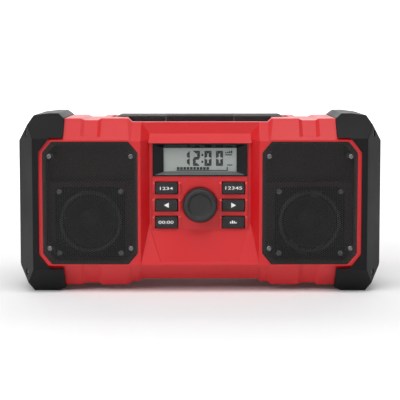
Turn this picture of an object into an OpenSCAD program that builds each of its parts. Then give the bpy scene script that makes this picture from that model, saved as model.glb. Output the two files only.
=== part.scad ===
/* [Body] */
// Width over both end caps
body_w = 400; // [380:5:420]
// Height from the feet to the top of the end caps
body_h = 196; // [190:1:204]
// Depth over the end caps
body_d = 165; // [160:1:170]
// Wall of the moulded housings
wall = 3; // [2.5:0.1:3.5]
// Run of the sloping bands, front to back
band_run = 22; // [18:1:26]
// Rise of the upper bands
band_rise = 22.4; // [20:0.2:25]
// Rise of the lower bands
low_rise = 24.2; // [22:0.2:26]
// Half width of the lowered middle of the housing
step_x = 74.5; // [73:0.5:76]
// Width of the slope beside the lowered middle
step_slope = 4; // [3:0.5:6]
// How far the underside of the middle lies inside that of the ends
step_d = 3.4; // [2.5:0.1:3.8]
// How far the top of the middle lies below that of the ends
step_top = 3.9; // [3:0.1:4.2]
// Sink of the middle's upper bands at their lower edge
band_sink = 1; // [0.5:0.1:1.5]
// Extra sink of those bands at the top
band_lean = 1.2; // [0.8:0.1:1.6]
// Sink of the middle's lower bands at their front edge
edge_sink = 0.3; // [0.2:0.1:0.6]
// Extra rise of the middle underneath
keel_d = 3; // [2:0.1:3.4]
// Plane where the front and rear housings meet
split_y = 10; // [6:1:12]

/* [Grip notches] */
// Inner end of each notch floor
notch_x = 112; // [110:0.5:114]
// Length of each notch floor
notch_w = 14.5; // [10:0.5:18]
// Slope at each end of a notch
notch_slope = 4; // [3:0.5:5]
// Depth of a notch
notch_d = 2; // [1:0.1:2.2]

/* [End caps] */
// Thickness of an end cap over the end of the housing
cap_t = 5; // [4:0.5:6]
// How far a cap stands proud of the front and rear
cap_proud = 3; // [2:0.25:3.5]
// Height of a cap above the housing
cap_rise = 5.8; // [5:0.1:6]
// Height of the housing above the ground
foot_h = 6.3; // [6:0.1:7.5]
// Reach of the cap lobes over the top and bottom
lobe_w = 51.5; // [48:0.5:54]
// Visible width of a cap beside the grille
cap_side_w = 24.5; // [23:0.25:25]
// Width of the flat front strip of a cap
cap_flat_w = 6.2; // [5:0.2:8]
// Length of the slanted front corner of a cap, front to back
cap_bevel_y = 36; // [30:1:38]
// Height of the slanted top and bottom corners of a cap
cap_corner_z = 26; // [22:1:28]
// Width of the slanted top and bottom corners of a cap
cap_corner_x = 17; // [14:1:18]
// Radius of the sunk hole over an end cap screw
cap_hole_r = 3.6; // [3.4:0.1:4]

/* [Speaker ends] */
// Width of a grille
grille_w = 103.4; // [100:0.2:105]
// Upper edge of a grille below the edge of the upper band
grille_high = 2; // [1.5:0.1:4]
// Inner edge of a grille from the middle
grille_x = 67.8; // [67:0.1:69]
// Lower edge of a grille above the edge of the lower band
grille_low = 1.3; // [1:0.1:3]
// Sheet thickness of a grille
grille_t = 1.6; // [1.2:0.1:2]
// Depth of the grille face below the housing face
grille_set = 0.8; // [0.4:0.1:1.2]
// Width of the cut corners of a grille
grille_cx = 10; // [8:0.5:12]
// Height of the cut corners of a grille
grille_cz = 12; // [9:0.5:13]
// Spacing of the holes in a grille
grille_pitch = 6.45; // [6:0.05:8]
// Radius of a grille hole
grille_hole_r = 2.3; // [1.8:0.1:2.5]
// Width of the ledge that a grille lies on
ledge_w = 4; // [3.5:0.25:4.5]
// Middle of a speaker, from the middle of the radio
spk_x = 121; // [120:0.5:122]
// Height of the middle of a speaker
spk_z = 76; // [75.5:0.25:78]
// Half width of a speaker's mounting flange
spk_flange = 39; // [38.5:0.25:39.5]
// Radius of the hole in the flange
spk_r = 36.4; // [36:0.1:36.8]
// Outer radius of the paper cone
cone_r = 28.5; // [27:0.25:29.5]
// Radius of the voice coil
coil_r = 10; // [9:0.25:11]
// Radius of the magnet
magnet_r = 27; // [24:0.5:30]
// Thickness of the ring magnet
magnet_t = 12; // [10:0.5:16]
// Depth of the baffle behind the front face
baffle_y = 24; // [22:0.5:26]
// Extra depth of the empty chamber above the speaker
loft_y = 20; // [14:1:22]

/* [Control panel] */
// Half width of the recess at the front face
recess_x = 64.6; // [64:0.1:65.2]
// Half width of the recess at its floor
recess_floor_x = 55.4; // [54.8:0.1:57]
// Depth of the recess
recess_d = 14; // [12:0.25:15]
// Half width of the raised panel
panel_x = 52.2; // [52:0.1:53]
// Height of the raised panel over the recess floor
panel_up = 2; // [1.5:0.1:2.5]
// Lower edge of the sloping brow below the edge of the upper band
brow_drop = 4.2; // [3.6:0.1:4.5]
// Upper edge of the brow above the edge of the upper band
brow_up = 5.7; // [4.5:0.1:7]
// Top of the name ramp below the knob's middle
ramp_drop = 27.4; // [27.1:0.1:29]
// Foot of the name ramp above the edge of the lower band
ramp_up = 0.9; // [0.5:0.1:2.5]
// Depth of the plain field in the ramp, at its foot
field_d = 1.4; // [0.8:0.1:1.6]
// Diameter of the knob
knob_d = 37.5; // [34:0.5:38]
// Length of the knob
knob_l = 15.4; // [14:0.1:16]
// Middle of the knob below the display bezel
knob_drop = 31.2; // [30.6:0.1:31.6]
// Travel of the knob when pushed
knob_travel = 0.8; // [0.5:0.1:1]
// Width of a key
key_w = 24.8; // [22:0.2:25]
// Height of a key
key_h = 13.1; // [12:0.1:14]
// Middle of the keys from the middle of the radio
key_x = 36.6; // [36.4:0.1:37]
// Height between rows of keys
key_pitch = 18.8; // [18:0.1:19]
// How far a key stands proud of the panel
key_up = 3; // [2:0.1:4]
// Travel of a key
key_travel = 1.2; // [0.8:0.1:1.4]
// Width of the rib on each side of a key
rib_w = 2.8; // [2:0.1:3]
// Width of the display bezel
bezel_w = 103.6; // [101:0.2:104]
// Height of the display bezel
bezel_h = 35.6; // [34.8:0.1:35.8]
// Top of the display bezel below the edge of the upper band
bezel_drop = 4.8; // [4.6:0.1:5.1]
// Width of the visible display
lcd_w = 80; // [76:0.5:84]
// Height of the visible display
lcd_h = 26; // [24:0.5:26.5]
// Top of the visible display below the bezel's top
lcd_drop = 5.2; // [4.6:0.1:5.8]

/* [Handle] */
// Length of the handle
handle_w = 200; // [192:1:204]
// Depth of the handle, front to back
handle_d = 38; // [34:0.5:40]
// Front edge of the handle behind the middle plane
handle_y = -10; // [-12:0.5:-8]
// Top of the handle below the top of the radio
handle_drop = 2.7; // [2:0.1:4]
// Thickness of the handle bar
handle_t = 21.3; // [18:0.1:24]
// Half width of the soft grip
grip_x = 38.4; // [34:0.2:44]
// Thickness of the soft grip
grip_t = 2.5; // [2:0.1:3]
// Half width of the hand pocket
pocket_x = 80; // [78:0.5:80]
// Depth of the hand pocket below the top of the ends
pocket_d = 44.2; // [42.2:0.5:45.7]
// Depth kept behind the control panel for its board
board_room = 18.5; // [18.5:0.5:20]
// Rear of the pocket behind the middle plane
pocket_rear = 50; // [48:0.5:52]

/* [Battery] */
// Width of the battery pack
pack_w = 78; // [76:0.5:80]
// Thickness of the battery pack
pack_t = 33; // [31:0.5:35]
// Height of the battery pack
pack_h = 113; // [112:0.5:114]
// Diameter of a cell
cell_d = 18.4; // [18.2:0.1:18.6]
// Length of a cell
cell_l = 65; // [64:0.5:65.5]
// Number of cells
cell_n = 5; // [4:1:5]
// Half width of the dock rail
rail_x = 25; // [22:0.5:27]
// Height of the dock rail
rail_h = 65; // [60:1:68]
// Half width of the battery bay
bay_x = 43; // [42:0.5:44]
// Floor of the battery bay behind the middle plane
bay_y = 36; // [35:0.5:37]
// Lower edge of the battery bay
bay_z = 24; // [23:0.5:26]

/* [Sockets] */
// Width of the socket compartment
aux_w = 70; // [64:1:72]
// Height of the socket compartment
aux_h = 70; // [60:1:70]
// Depth of the socket compartment
aux_d = 31; // [26:0.5:32]
// Middle of the socket compartment from the middle of the radio
aux_x = 105; // [104:0.5:108]
// Height of the middle of the socket compartment
aux_z = 100; // [95:0.5:101]
// Thickness of the compartment door
door_t = 3; // [2.5:0.1:3.5]
// Radius of the door hinge pin
hinge_r = 1.5; // [1.2:0.1:1.8]
// Radius of the audio jack bore
jack_r = 1.8; // [1.75:0.05:1.85]
// Length of the audio jack bore
jack_l = 14; // [13:0.5:15]
// Middle of the power inlet from the middle of the radio
inlet_x = 105; // [95:1:115]
// Height of the power inlet
inlet_z = 60; // [55:1:70]
// Radius of the power inlet
inlet_r = 4; // [3.5:0.1:4.5]

/* [Fits] */
// Gap around a part that moves in a hole
clear = 0.4; // [0.3:0.05:0.5]
// Gap between parts that are only laid together
lay = 0.1; // [0.05:0.01:0.15]
// Radial gap of a shaft in its bearing
run = 0.05; // [0.03:0.01:0.08]
// Radius of the small screws
screw_r = 1.5; // [1.4:0.05:1.6]
// Radius of a small screw head
head_r = 3; // [2.8:0.05:3.2]
// Thickness of a small screw head
head_t = 2.2; // [2:0.1:2.4]
// Thickness of the circuit boards
board_t = 1.6; // [1.2:0.1:1.8]
/* [Hidden] */
$fn = 48;

// Colours as the photograph shows them
red = [0.76, 0.16, 0.17];
black = [0.13, 0.13, 0.14];
rubber = [0.19, 0.18, 0.19];
steel = [0.62, 0.63, 0.65];
green = [0.10, 0.32, 0.18];
copper = [0.72, 0.45, 0.25];
paper = [0.09, 0.09, 0.10];
grey_glass = [0.54, 0.56, 0.55];

// Housing planes, worked out from the overall size
face_y = body_d / 2 - cap_proud;
core_top = body_h - cap_rise;
core_low = foot_h;
band_top_z = core_top - band_rise;
band_low_z = core_low + low_rise;
band_end_y = face_y - band_run;
grille_z = band_low_z + grille_low;
grille_h = band_top_z - grille_high - grille_z;
handle_top = body_h - handle_drop;
pocket_z = core_top - pocket_d;
core_x = body_w / 2 - cap_t;
cap_edge_x = body_w / 2 - cap_side_w;
skin = wall + notch_d;

// Side outline of the housing, in depth and height, counter-clockwise
core_side = [
    [-face_y, band_low_z], [-band_end_y, core_low], [band_end_y, core_low], [face_y, band_low_z],
    [face_y, band_top_z], [band_end_y, core_top], [-band_end_y, core_top], [-face_y, band_top_z]];
FRONT_LOW = 0;
UNDER = 1;
REAR_LOW = 2;
REAR_TOP = 4;
TOP = 5;
FRONT_TOP = 6;
FRONT = 7;

function unit(v) = v / norm(v);
function left_of(v) = [-v[1], v[0]];
// Moves every side of a counter-clockwise outline inwards by d
function inset(P, d) = [for (i = [0:len(P) - 1])
    let (n = len(P), a = left_of(unit(P[i] - P[(i + n - 1) % n])),
         b = left_of(unit(P[(i + 1) % n] - P[i])))
    P[i] + d * (a + b) / (1 + a * b)];
// Adds the mirror image of a right-hand half outline
function both_sides(P) = concat(P, [for (i = [len(P) - 1:-1:0]) [-P[i][0], P[i][1]]]);

module along_x(w) {
    translate([-w / 2, 0, 0]) rotate([90, 0, 90]) linear_extrude(w) children();
}
module span_x(from, to) {
    translate([from, 0, 0]) rotate([90, 0, 90]) linear_extrude(to - from) children();
}
module span_y(from, to) {
    translate([0, to, 0]) rotate([90, 0, 0]) linear_extrude(to - from) children();
}
module block(from, to) {
    translate(from) cube(to - from);
}
module sides() {
    children();
    mirror([1, 0, 0]) children();
}
module front_and_rear() {
    children();
    mirror([0, 1, 0]) children();
}
// A round bar along the depth
module rod_y(x, z, r, from, to) {
    translate([x, to, z]) rotate([90, 0, 0]) cylinder(h = to - from, r = r);
}
// A round bar along the height
module rod_z(x, y, r, from, to) {
    translate([x, y, from]) cylinder(h = to - from, r = r);
}
// Runs a flat shape along a line in depth and height: x stays x, y points out of the face
module on_line(a, b, before = 15, after = 15) {
    d = b - a;
    translate([0, a[0], a[1]]) rotate([atan2(d[1], d[0]), 0, 0])
        translate([0, norm(d) + after, 0]) rotate([90, 0, 0])
            linear_extrude(norm(d) + before + after) children();
}
module on_side(i, before = 15, after = 15) {
    on_line(core_side[(i + 1) % len(core_side)], core_side[i], before, after) children();
}
// A rectangle with cut corners
module cut_rect(x0, z0, x1, z1, cx, cz) {
    polygon([[x0 + cx, z0], [x1 - cx, z0], [x1, z0 + cz], [x1, z1 - cz],
             [x1 - cx, z1], [x0 + cx, z1], [x0, z1 - cz], [x0, z0 + cz]]);
}
module round_rect(x0, z0, x1, z1, r) {
    translate([x0 + r, z0]) square([x1 - x0 - 2 * r, z1 - z0]);
    translate([x0, z0 + r]) square([x1 - x0, z1 - z0 - 2 * r]);
    for (x = [x0 + r, x1 - r], z = [z0 + r, z1 - r]) translate([x, z]) circle(r);
}

// ---- Housing form
core_plan = both_sides([[cap_edge_x + 2, -face_y], [core_x, -face_y + cap_bevel_y - 2],
    [core_x, face_y - cap_bevel_y + 2], [cap_edge_x + 2, face_y]]);
core_front = both_sides([[core_x - cap_corner_x, core_low], [core_x, band_low_z - 2],
    [core_x, band_top_z - 2], [core_x - cap_corner_x, core_top]]);

module plain_core(d = 0) {
    intersection() {
        along_x(body_w) polygon(inset(core_side, d));
        translate([0, 0, -1]) linear_extrude(body_h + 2) polygon(inset(core_plan, d > 0 ? wall : 0));
        span_y(-body_d, body_d) polygon(inset(core_front, d > 0 ? wall : 0));
    }
}

// The slopes run on above the surface, so that each shape cuts it cleanly
module step_shape(half, slope, top, depth) {
    edge = half + 2 * slope;
    rise = depth - 2 * top;
    polygon([[-edge, rise], [-half, -depth], [half, -depth], [edge, rise], [edge, wall + depth],
             [-edge, wall + depth]]);
}
module notch_shape() {
    sides() polygon([[notch_x - 2 * notch_slope, notch_d], [notch_x, -notch_d],
                     [notch_x + notch_w, -notch_d], [notch_x + notch_w + 2 * notch_slope, notch_d]]);
}
notch_stop = 4.7;
keel_x = recess_x - 1;
keel_slope = 3;

// The bands of the middle turn a little about their edges at the front and rear faces
band_out = left_of(unit(core_side[FRONT_TOP] - core_side[FRONT]));
mid_foot = core_side[FRONT] - band_sink * band_out;
mid_head = core_side[FRONT_TOP] - (band_sink + band_lean) * band_out;
low_out = left_of(unit(core_side[FRONT_LOW] - core_side[UNDER]));
low_edge = core_side[FRONT_LOW] - edge_sink * low_out;
module on_mid_band() {
    on_line(mid_foot, mid_head) children();
}
module low_band_cut(half, slope, depth, over) {
    on_line(core_side[UNDER] - depth * low_out, low_edge)
        translate([0, over]) step_shape(half, slope, 0, over);
}
module form_cuts() {
    mid_sink = band_sink + band_lean / 2;
    front_and_rear() {
        on_mid_band() translate([0, mid_sink]) step_shape(step_x, step_slope, 0, mid_sink);
        low_band_cut(step_x, step_slope, step_d, step_d / 2);
        low_band_cut(keel_x + 0.3, keel_slope, step_d + keel_d, keel_d / 2);
    }
    on_side(TOP) step_shape(step_x, step_slope, 0, step_top);
    on_side(UNDER) step_shape(step_x, step_slope, 0, step_d);
    on_side(UNDER) step_shape(keel_x, keel_slope, step_d, step_d + keel_d);
    for (i = [FRONT_LOW, UNDER, REAR_LOW, TOP]) on_side(i) notch_shape();
    on_side(REAR_TOP, after = -notch_stop) notch_shape();
    on_side(FRONT_TOP, before = -notch_stop) notch_shape();
}

// ---- Recess of the control panel
recess_y = -face_y + recess_d;
panel_y = recess_y - panel_up;
brow_z = band_top_z - brow_drop;
brow_top_z = band_top_z + brow_up;
bezel_z = band_top_z - bezel_drop - bezel_h;
lcd_z = bezel_z + bezel_h - lcd_drop - lcd_h;
knob_z = bezel_z - knob_drop;
ramp_top_z = knob_z - ramp_drop;
ramp_low_z = band_low_z + ramp_up;
brow_depth = (mid_foot - [recess_y, band_top_z]) * left_of(unit(mid_head - mid_foot));
brow_slope = (mid_head[0] - mid_foot[0]) / (mid_head[1] - mid_foot[1]);
brow_top_y = recess_y + (brow_top_z - band_top_z) * brow_slope;
rim_lean = 1;
rim_z = core_top - step_top;
ramp_run = face_y + panel_y;
ramp_rise = ramp_top_z - ramp_low_z;
// Height of the ramp's face at a given depth
function ramp_z(y) = ramp_top_z + (y - panel_y) * ramp_rise / ramp_run;
panel_back = recess_y + wall;
pocket_front = panel_back + board_room;

module wall_shape(depth) {
    polygon([[-recess_x, 0], [-recess_floor_x, -depth], [recess_floor_x, -depth], [recess_x, 0],
             [recess_x, wall], [-recess_x, wall]]);
}
module recess_cut() {
    intersection() {
        union() {
            on_side(FRONT) wall_shape(recess_d);
            on_mid_band() wall_shape(brow_depth);
        }
        along_x(2 * recess_x + 2) polygon([
            [-face_y - recess_d, ramp_z(-face_y - recess_d)], [recess_y + 2, ramp_z(recess_y + 2)],
            [brow_top_y, brow_top_z], [brow_top_y + rim_lean, rim_z + 2],
            [-face_y - recess_d, rim_z + 2]]);
    }
}
module ramp_field() {
    // it starts flush at the top and is sunk by its full depth at the foot
    top_x = recess_floor_x - 1.4;
    low_x = top_x - 11;
    reach = norm([ramp_run, ramp_rise]);
    lip = 2.8;
    translate([0, panel_y + 0.2, ramp_top_z]) rotate([-atan2(ramp_run - field_d, ramp_rise), 0, 0])
        span_y(-wall, 0) polygon([[-top_x, -1], [top_x, -1], [low_x, lip - reach],
                                  [-low_x, lip - reach]]);
}
key_rows = [knob_z + key_pitch - 0.4, knob_z - 0.4, knob_z - key_pitch - 0.4];
rib_slope = 2.2;
module key_ribs() {
    sides() for (z = key_rows, x = [key_x - key_w / 2 - clear - rib_w, key_x + key_w / 2 + clear])
        span_x(x, x + rib_w) polygon([
            [panel_y, z - key_h / 2], [panel_y, z + key_h / 2], [panel_y - 1.2, z + key_h / 2 - rib_slope],
            [panel_y - 1.2, z - key_h / 2]]);
}
knob_well_r = knob_d / 2 + 1;
knob_well_d = 1.6;
bezel_lip = 1.3;
module panel_face() {
    block([-panel_x, panel_y, ramp_top_z - 6], [panel_x, panel_back, brow_z]);
    along_x(2 * recess_floor_x + 2) polygon([
        [recess_y - (band_top_z - brow_z) * brow_slope, brow_z], [recess_y, brow_z],
        [recess_y, band_top_z]]);
    key_ribs();
}
module panel_holes() {
    sides() for (z = key_rows)
        span_y(panel_y - wall, panel_back + wall)
            round_rect(key_x - key_w / 2 - clear, z - key_h / 2 - clear,
                       key_x + key_w / 2 + clear, z + key_h / 2 + clear, 1.5);
    rod_y(0, knob_z, knob_well_r, panel_y - wall, panel_y + knob_well_d);
    rod_y(0, knob_z, bush_r + clear, panel_y, panel_back + wall);
    block([-bezel_w / 2 + bezel_lip, panel_y - wall, bezel_z + bezel_lip],
          [bezel_w / 2 - bezel_lip, panel_back + wall, bezel_z + bezel_h - bezel_lip]);
}

// ---- Speaker chambers in the front housing
chamber_x0 = grille_x + ledge_w;
chamber_x1 = grille_x + grille_w - ledge_w;
chamber_z0 = grille_z + ledge_w;
chamber_z1 = grille_z + grille_h - ledge_w;
grille_y0 = -face_y + grille_set;
grille_y1 = grille_y0 + grille_t;
baffle_front = -face_y + baffle_y;
baffle_back = baffle_front + wall;
loft_front = baffle_front + loft_y;
loft_back = loft_front + wall;
ledge_z = spk_z + spk_flange + 2;
grille_screw_x = [grille_x + 7.4, grille_x + grille_w - 7.4];
grille_screw_z = [grille_z + 17.6, grille_z + grille_h - 16];
post_r = 3.6;

module chamber_walls() {
    block([chamber_x0 - wall, -face_y + lay, chamber_z0 - wall],
          [chamber_x1 + wall, baffle_back, ledge_z + wall]);
    block([chamber_x0 - wall, -face_y + lay, ledge_z],
          [chamber_x1 + wall, loft_back, chamber_z1 + wall]);
}
module chamber_voids() {
    span_y(-face_y - wall, grille_y1)
        cut_rect(grille_x - lay, grille_z - lay, grille_x + grille_w + lay, grille_z + grille_h + lay,
                 grille_cx, grille_cz);
    difference() {
        union() {
            span_y(-face_y - wall, baffle_front)
                cut_rect(chamber_x0, chamber_z0, chamber_x1, chamber_z1, grille_cx, grille_cz);
            intersection() {
                span_y(-face_y, loft_front)
                    cut_rect(chamber_x0, chamber_z0, chamber_x1, chamber_z1, grille_cx, grille_cz);
                block([chamber_x0, -face_y, ledge_z + wall], [chamber_x1, loft_front, chamber_z1]);
            }
        }
        for (x = grille_screw_x, z = grille_screw_z) rod_y(x, z, post_r, grille_y1, loft_front);
    }
    rod_y(spk_x, spk_z, spk_r + 1, baffle_front - 1, baffle_back + 1);
    for (x = grille_screw_x, z = grille_screw_z) rod_y(x, z, screw_r, grille_y1 - 1, grille_y1 + 10);
    for (p = flange_holes) rod_y(spk_x + p[0], spk_z + p[1], screw_r, baffle_front - 1, baffle_back + 1);
}
flange_hole = spk_flange - 5;
flange_holes = [for (x = [-flange_hole, flange_hole], z = [-flange_hole, flange_hole]) [x, z]];

// ---- Hand pocket and battery bay
tub_x = pocket_x + wall;
mid_x = tub_x;
seat_x = handle_w / 2 + clear;
seat_y0 = handle_y - clear;
seat_y1 = handle_y + handle_d + clear;
seat_z = 184;
seat_t = 5;
pocket_floor = pocket_z - wall;
front_loft_z = band_top_z - 2;

deep_skin = wall + step_d + keel_d;
// Everything that the housings enclose
module cavity() {
    reach = mid_x + 1;
    difference() {
        plain_core(skin);
        block([-mid_x, -body_d, -1], [mid_x, body_d, body_h]);
    }
    intersection() {
        along_x(2 * reach) polygon(inset(core_side, deep_skin));
        union() {
            block([-reach, panel_back, 0], [reach, face_y, pocket_floor]);
            block([-reach, panel_back, pocket_floor - 1], [reach, pocket_front - wall, front_loft_z]);
            sides() block([bay_x + wall, pocket_rear + wall, pocket_floor - 1],
                          [reach, face_y, front_loft_z]);
        }
    }
}
module hollows() {
    block([-pocket_x, pocket_front, pocket_z], [pocket_x, pocket_rear, body_h]);
    block([-bay_x, bay_y, bay_z], [bay_x, body_d, body_h]);
    block([-seat_x, seat_y0, seat_z], [seat_x, seat_y1, body_h]);
    panel_holes();
    sides() chamber_voids();
    aux_void();
    rod_y(inlet_x, inlet_z, inlet_r + lay, face_y - skin - 1, body_d);
    sides() for (p = cap_screws) cap_screw_axis(p) cylinder(h = 12, r = screw_r);
    for (p = housing_bosses) {
        rod_y(p[0], p[1], screw_r, split_y - 16, split_y + 1);
        rod_y(p[0], p[1], screw_r + 0.3, split_y - 1, split_y + 14);
        rod_y(p[0], p[1], head_r + 0.5, split_y + 12, body_d);
    }
    sides() for (y = handle_screw_y)
        rod_z(handle_screw_x, y, screw_r + 0.3, seat_z - seat_t - 1, seat_z + 1);
    for (p = panel_bosses) rod_y(p[0], p[1], screw_r, panel_back + 1, board_y + 1);
    for (p = main_bosses) rod_y(p[0], p[1], screw_r, main_y - 1, bay_y - wall - 1);
}
// Parts of the housings that stand inside the cavity
module inner_walls() {
    sides() chamber_walls();
    intersection() {
        along_x(body_w) polygon(inset(core_side, deep_skin - 1));
        union() {
            block([-bay_x - wall, bay_y - wall, bay_z - wall], [bay_x + wall, face_y, pocket_floor + 1]);
            aux_walls();
        }
    }
    sides() block([pocket_x - 1, seat_y0 - 4, seat_z - seat_t], [seat_x + 4, seat_y1 + 4, core_top - 1]);
    for (p = panel_bosses) rod_y(p[0], p[1], post_r, panel_back - 1, board_y);
    for (p = main_bosses) rod_y(p[0], p[1], post_r, main_y + board_t, bay_y - wall + 1);
    intersection() {
        plain_core(0.5);
        for (p = housing_bosses)
            rod_y(p[0], p[1], boss_r, p[2], face_y);
    }
    antenna_clips();
}
module cap_screw_bosses() {
    intersection() {
        plain_core(0.5);
        sides() for (p = cap_screws) cap_screw_axis(p) translate([0, 0, 3]) cylinder(h = 10, r = post_r);
    }
}
module housing() {
    difference() {
        union() {
            difference() {
                plain_core();
                form_cuts();
                recess_cut();
                cavity();
            }
            panel_face();
            inner_walls();
            cap_screw_bosses();
        }
        ramp_field();
        hollows();
    }
}
module front_housing() {
    color(red) intersection() {
        housing();
        block([-body_w, -body_d, -1], [body_w, split_y, body_h]);
    }
}
module rear_housing() {
    color(red) intersection() {
        housing();
        block([-body_w, split_y, -1], [body_w, body_d, body_h]);
    }
}

// ---- Screws that hold the halves together: x, height, front end of the boss
boss_r = 4.5;
boss_low_z = core_low + step_d + keel_d + wall + boss_r - 1;
end_boss_x = core_x - wall - boss_r + 1;
housing_bosses = [for (s = [-1, 1]) each [
    [s * 62, boss_low_z, split_y - 20], [s * 62, pocket_floor - boss_r + 1, split_y - 20],
    [s * end_boss_x, 52, split_y - 40], [s * end_boss_x, 146, split_y - 40]]];
module housing_screws() {
    color(steel) for (p = housing_bosses) {
        rod_y(p[0], p[1], screw_r - 0.02, split_y - 14, split_y + 12.5);
        rod_y(p[0], p[1], head_r, split_y + 12, split_y + 12 + head_t);
    }
}

// ---- End caps
cap_x = body_w / 2;
cap_y = body_d / 2;
cap_flat_x = cap_edge_x + cap_flat_w;
lobe_x = cap_x - lobe_w;
lobe_low_z = band_low_z - 3.5;
lobe_top_z = band_top_z + 2.4;
window_cx = 12.5;
window_cz = 16;
cap_low_z = band_low_z - 4.5;
cap_top_z = band_top_z + 1.5;
cap_side = [
    [-cap_y, cap_low_z], [-band_end_y - 2, 0], [band_end_y + 2, 0], [cap_y, cap_low_z],
    [cap_y, cap_top_z], [band_end_y + 1, body_h], [-band_end_y - 1, body_h], [-cap_y, cap_top_z]];
lobe_cut_x = 6.5;
lobe_cut_z = 4.5;

module cap_outline() {
    polygon([
        [lobe_x + lobe_cut_x + 1, 0], [cap_x - cap_corner_x, 0], [cap_x - 1, cap_corner_z],
        [cap_x, cap_corner_z + 3], [cap_x, body_h - cap_corner_z - 4],
        [cap_x - 2.2, body_h - cap_corner_z - 1], [cap_x - cap_corner_x - 1, body_h - 2],
        [cap_x - cap_corner_x - 17, body_h], [lobe_x + lobe_cut_x, body_h],
        [lobe_x, body_h - lobe_cut_z - 1], [lobe_x, lobe_cut_z - 1]]);
}
module cap_window() {
    polygon([
        [lobe_x - 5, lobe_low_z], [cap_edge_x - window_cx, lobe_low_z],
        [cap_edge_x, lobe_low_z + window_cz], [cap_edge_x, lobe_top_z - window_cz],
        [cap_edge_x - window_cx, lobe_top_z], [lobe_x - 5, lobe_top_z]]);
}
// Screws that hold a cap stand square to its slanted front and rear corners
bevel_run = body_w / 2 - cap_flat_x;
bevel_turn = atan2(cap_bevel_y, bevel_run);
cap_screw_in = 8.6;
cap_screw_zs = [foot_h + 15.5, body_h - 22];
cap_screws = [for (f = [-1, 1], z = cap_screw_zs) [f, z]];
module cap_screw_axis(p) {
    x = cap_flat_x + cap_screw_in;
    y = cap_y - cap_screw_in * cap_bevel_y / bevel_run;
    // z of the children points into the radio
    translate([x, p[0] * y, p[1]]) rotate([0, 0, p[0] * (90 - bevel_turn)]) rotate([0, -90, 0]) children();
}
cap_screw_seat = 2.6;
module end_cap() {
    difference() {
        intersection() {
            span_x(lobe_x, cap_x) polygon(cap_side);
            span_y(-body_d, body_d) cap_outline();
            translate([0, 0, -1]) linear_extrude(body_h + 2) polygon([
                [lobe_x - 1, -cap_y], [cap_flat_x, -cap_y], [cap_x, -cap_y + cap_bevel_y],
                [cap_x, cap_y - cap_bevel_y], [cap_flat_x, cap_y], [lobe_x - 1, cap_y]]);
        }
        plain_core();
        span_y(-body_d, body_d) cap_window();
        for (p = cap_screws) cap_screw_axis(p) {
            translate([0, 0, -4]) cylinder(h = 4 + cap_screw_seat, r = cap_hole_r);
            cylinder(h = 8, r = screw_r + 0.3);
        }
    }
}
module end_cap_right() {
    color(black) end_cap();
}
module end_cap_left() {
    color(black) mirror([1, 0, 0]) end_cap();
}
module end_cap_screws() {
    color(steel) sides() for (p = cap_screws) cap_screw_axis(p) {
        translate([0, 0, cap_screw_seat - head_t]) cylinder(h = head_t, r = head_r);
        translate([0, 0, cap_screw_seat - 0.1]) cylinder(h = 8, r = screw_r - 0.02);
    }
}

// ---- Carry handle
bar_x = pocket_x - 8;
bar_low = handle_top - handle_t;
tip_z = 187.5;
handle_flat_x = 89;
module handle_outline(d) {
    polygon(both_sides([[bar_x + d, bar_low + d], [pocket_x, seat_z], [handle_w / 2, seat_z],
        [handle_w / 2, tip_z], [handle_flat_x, handle_top - d]]));
}
module handle_bar(d = 0) {
    corner = 6;
    intersection() {
        span_y(handle_y + d, handle_y + handle_d - d) handle_outline(d);
        along_x(handle_w) polygon([
            [handle_y + d, bar_low + corner + d / 2], [handle_y + corner + d / 2, bar_low + d],
            [handle_y + handle_d - corner - d / 2, bar_low + d],
            [handle_y + handle_d - d, bar_low + corner + d / 2],
            [handle_y + handle_d - d, handle_top - 2 - d / 2],
            [handle_y + handle_d - 2 - d / 2, handle_top - d], [handle_y + 2 + d / 2, handle_top - d],
            [handle_y + d, handle_top - 2 - d / 2]]);
    }
}
handle_screw_x = 92;
handle_screw_y = [handle_y + 9, handle_y + handle_d - 9];
handle_bore = 6;
module handle_frame() {
    color(black) difference() {
        handle_bar();
        difference() {
            block([-grip_x, -body_d, 0], [grip_x, body_d, body_h + 1]);
            handle_bar(grip_t);
        }
        sides() for (y = handle_screw_y)
            rod_z(handle_screw_x, y, screw_r, seat_z - 1, seat_z + handle_bore);
    }
}
module handle_grip() {
    color(rubber) difference() {
        intersection() {
            handle_bar();
            block([-grip_x, -body_d, 0], [grip_x, body_d, body_h + 1]);
        }
        handle_bar(grip_t);
    }
}
module handle_screws() {
    color(steel) sides() for (y = handle_screw_y) {
        rod_z(handle_screw_x, y, screw_r - 0.02, seat_z - seat_t - 0.5, seat_z + handle_bore - 1);
        rod_z(handle_screw_x, y, head_r, seat_z - seat_t - head_t, seat_z - seat_t);
    }
}

// ---- Grilles
module grille() {
    row = grille_pitch * sqrt(3) / 2;
    edge = grille_hole_r + 1.6;
    w = grille_w - 2 * edge;
    h = grille_h - 2 * edge;
    nx = floor(w / row / 2);
    nz = floor(h / grille_pitch / 2);
    span_y(grille_y0, grille_y1) difference() {
        cut_rect(grille_x, grille_z, grille_x + grille_w, grille_z + grille_h, grille_cx, grille_cz);
        translate([grille_x + grille_w / 2, grille_z + grille_h / 2])
            for (i = [-nx:nx], j = [-nz - 1:nz]) {
                x = i * row;
                z = (j + (i % 2 == 0 ? 0 : 0.5)) * grille_pitch;
                px = grille_x + grille_w / 2 + x;
                pz = grille_z + grille_h / 2 + z;
                corner = abs(x) / grille_cx + abs(z) / grille_cz
                    < (w / 2 - grille_cx) / grille_cx + h / 2 / grille_cz;
                near = min([for (a = grille_screw_x, b = grille_screw_z) norm([px - a, pz - b])]);
                if (abs(z) < h / 2 && corner && near > post_r + grille_hole_r)
                    translate([x, z]) circle(grille_hole_r);
            }
        for (x = grille_screw_x, z = grille_screw_z) translate([x, z]) circle(screw_r + 0.3);
    }
}
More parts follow.
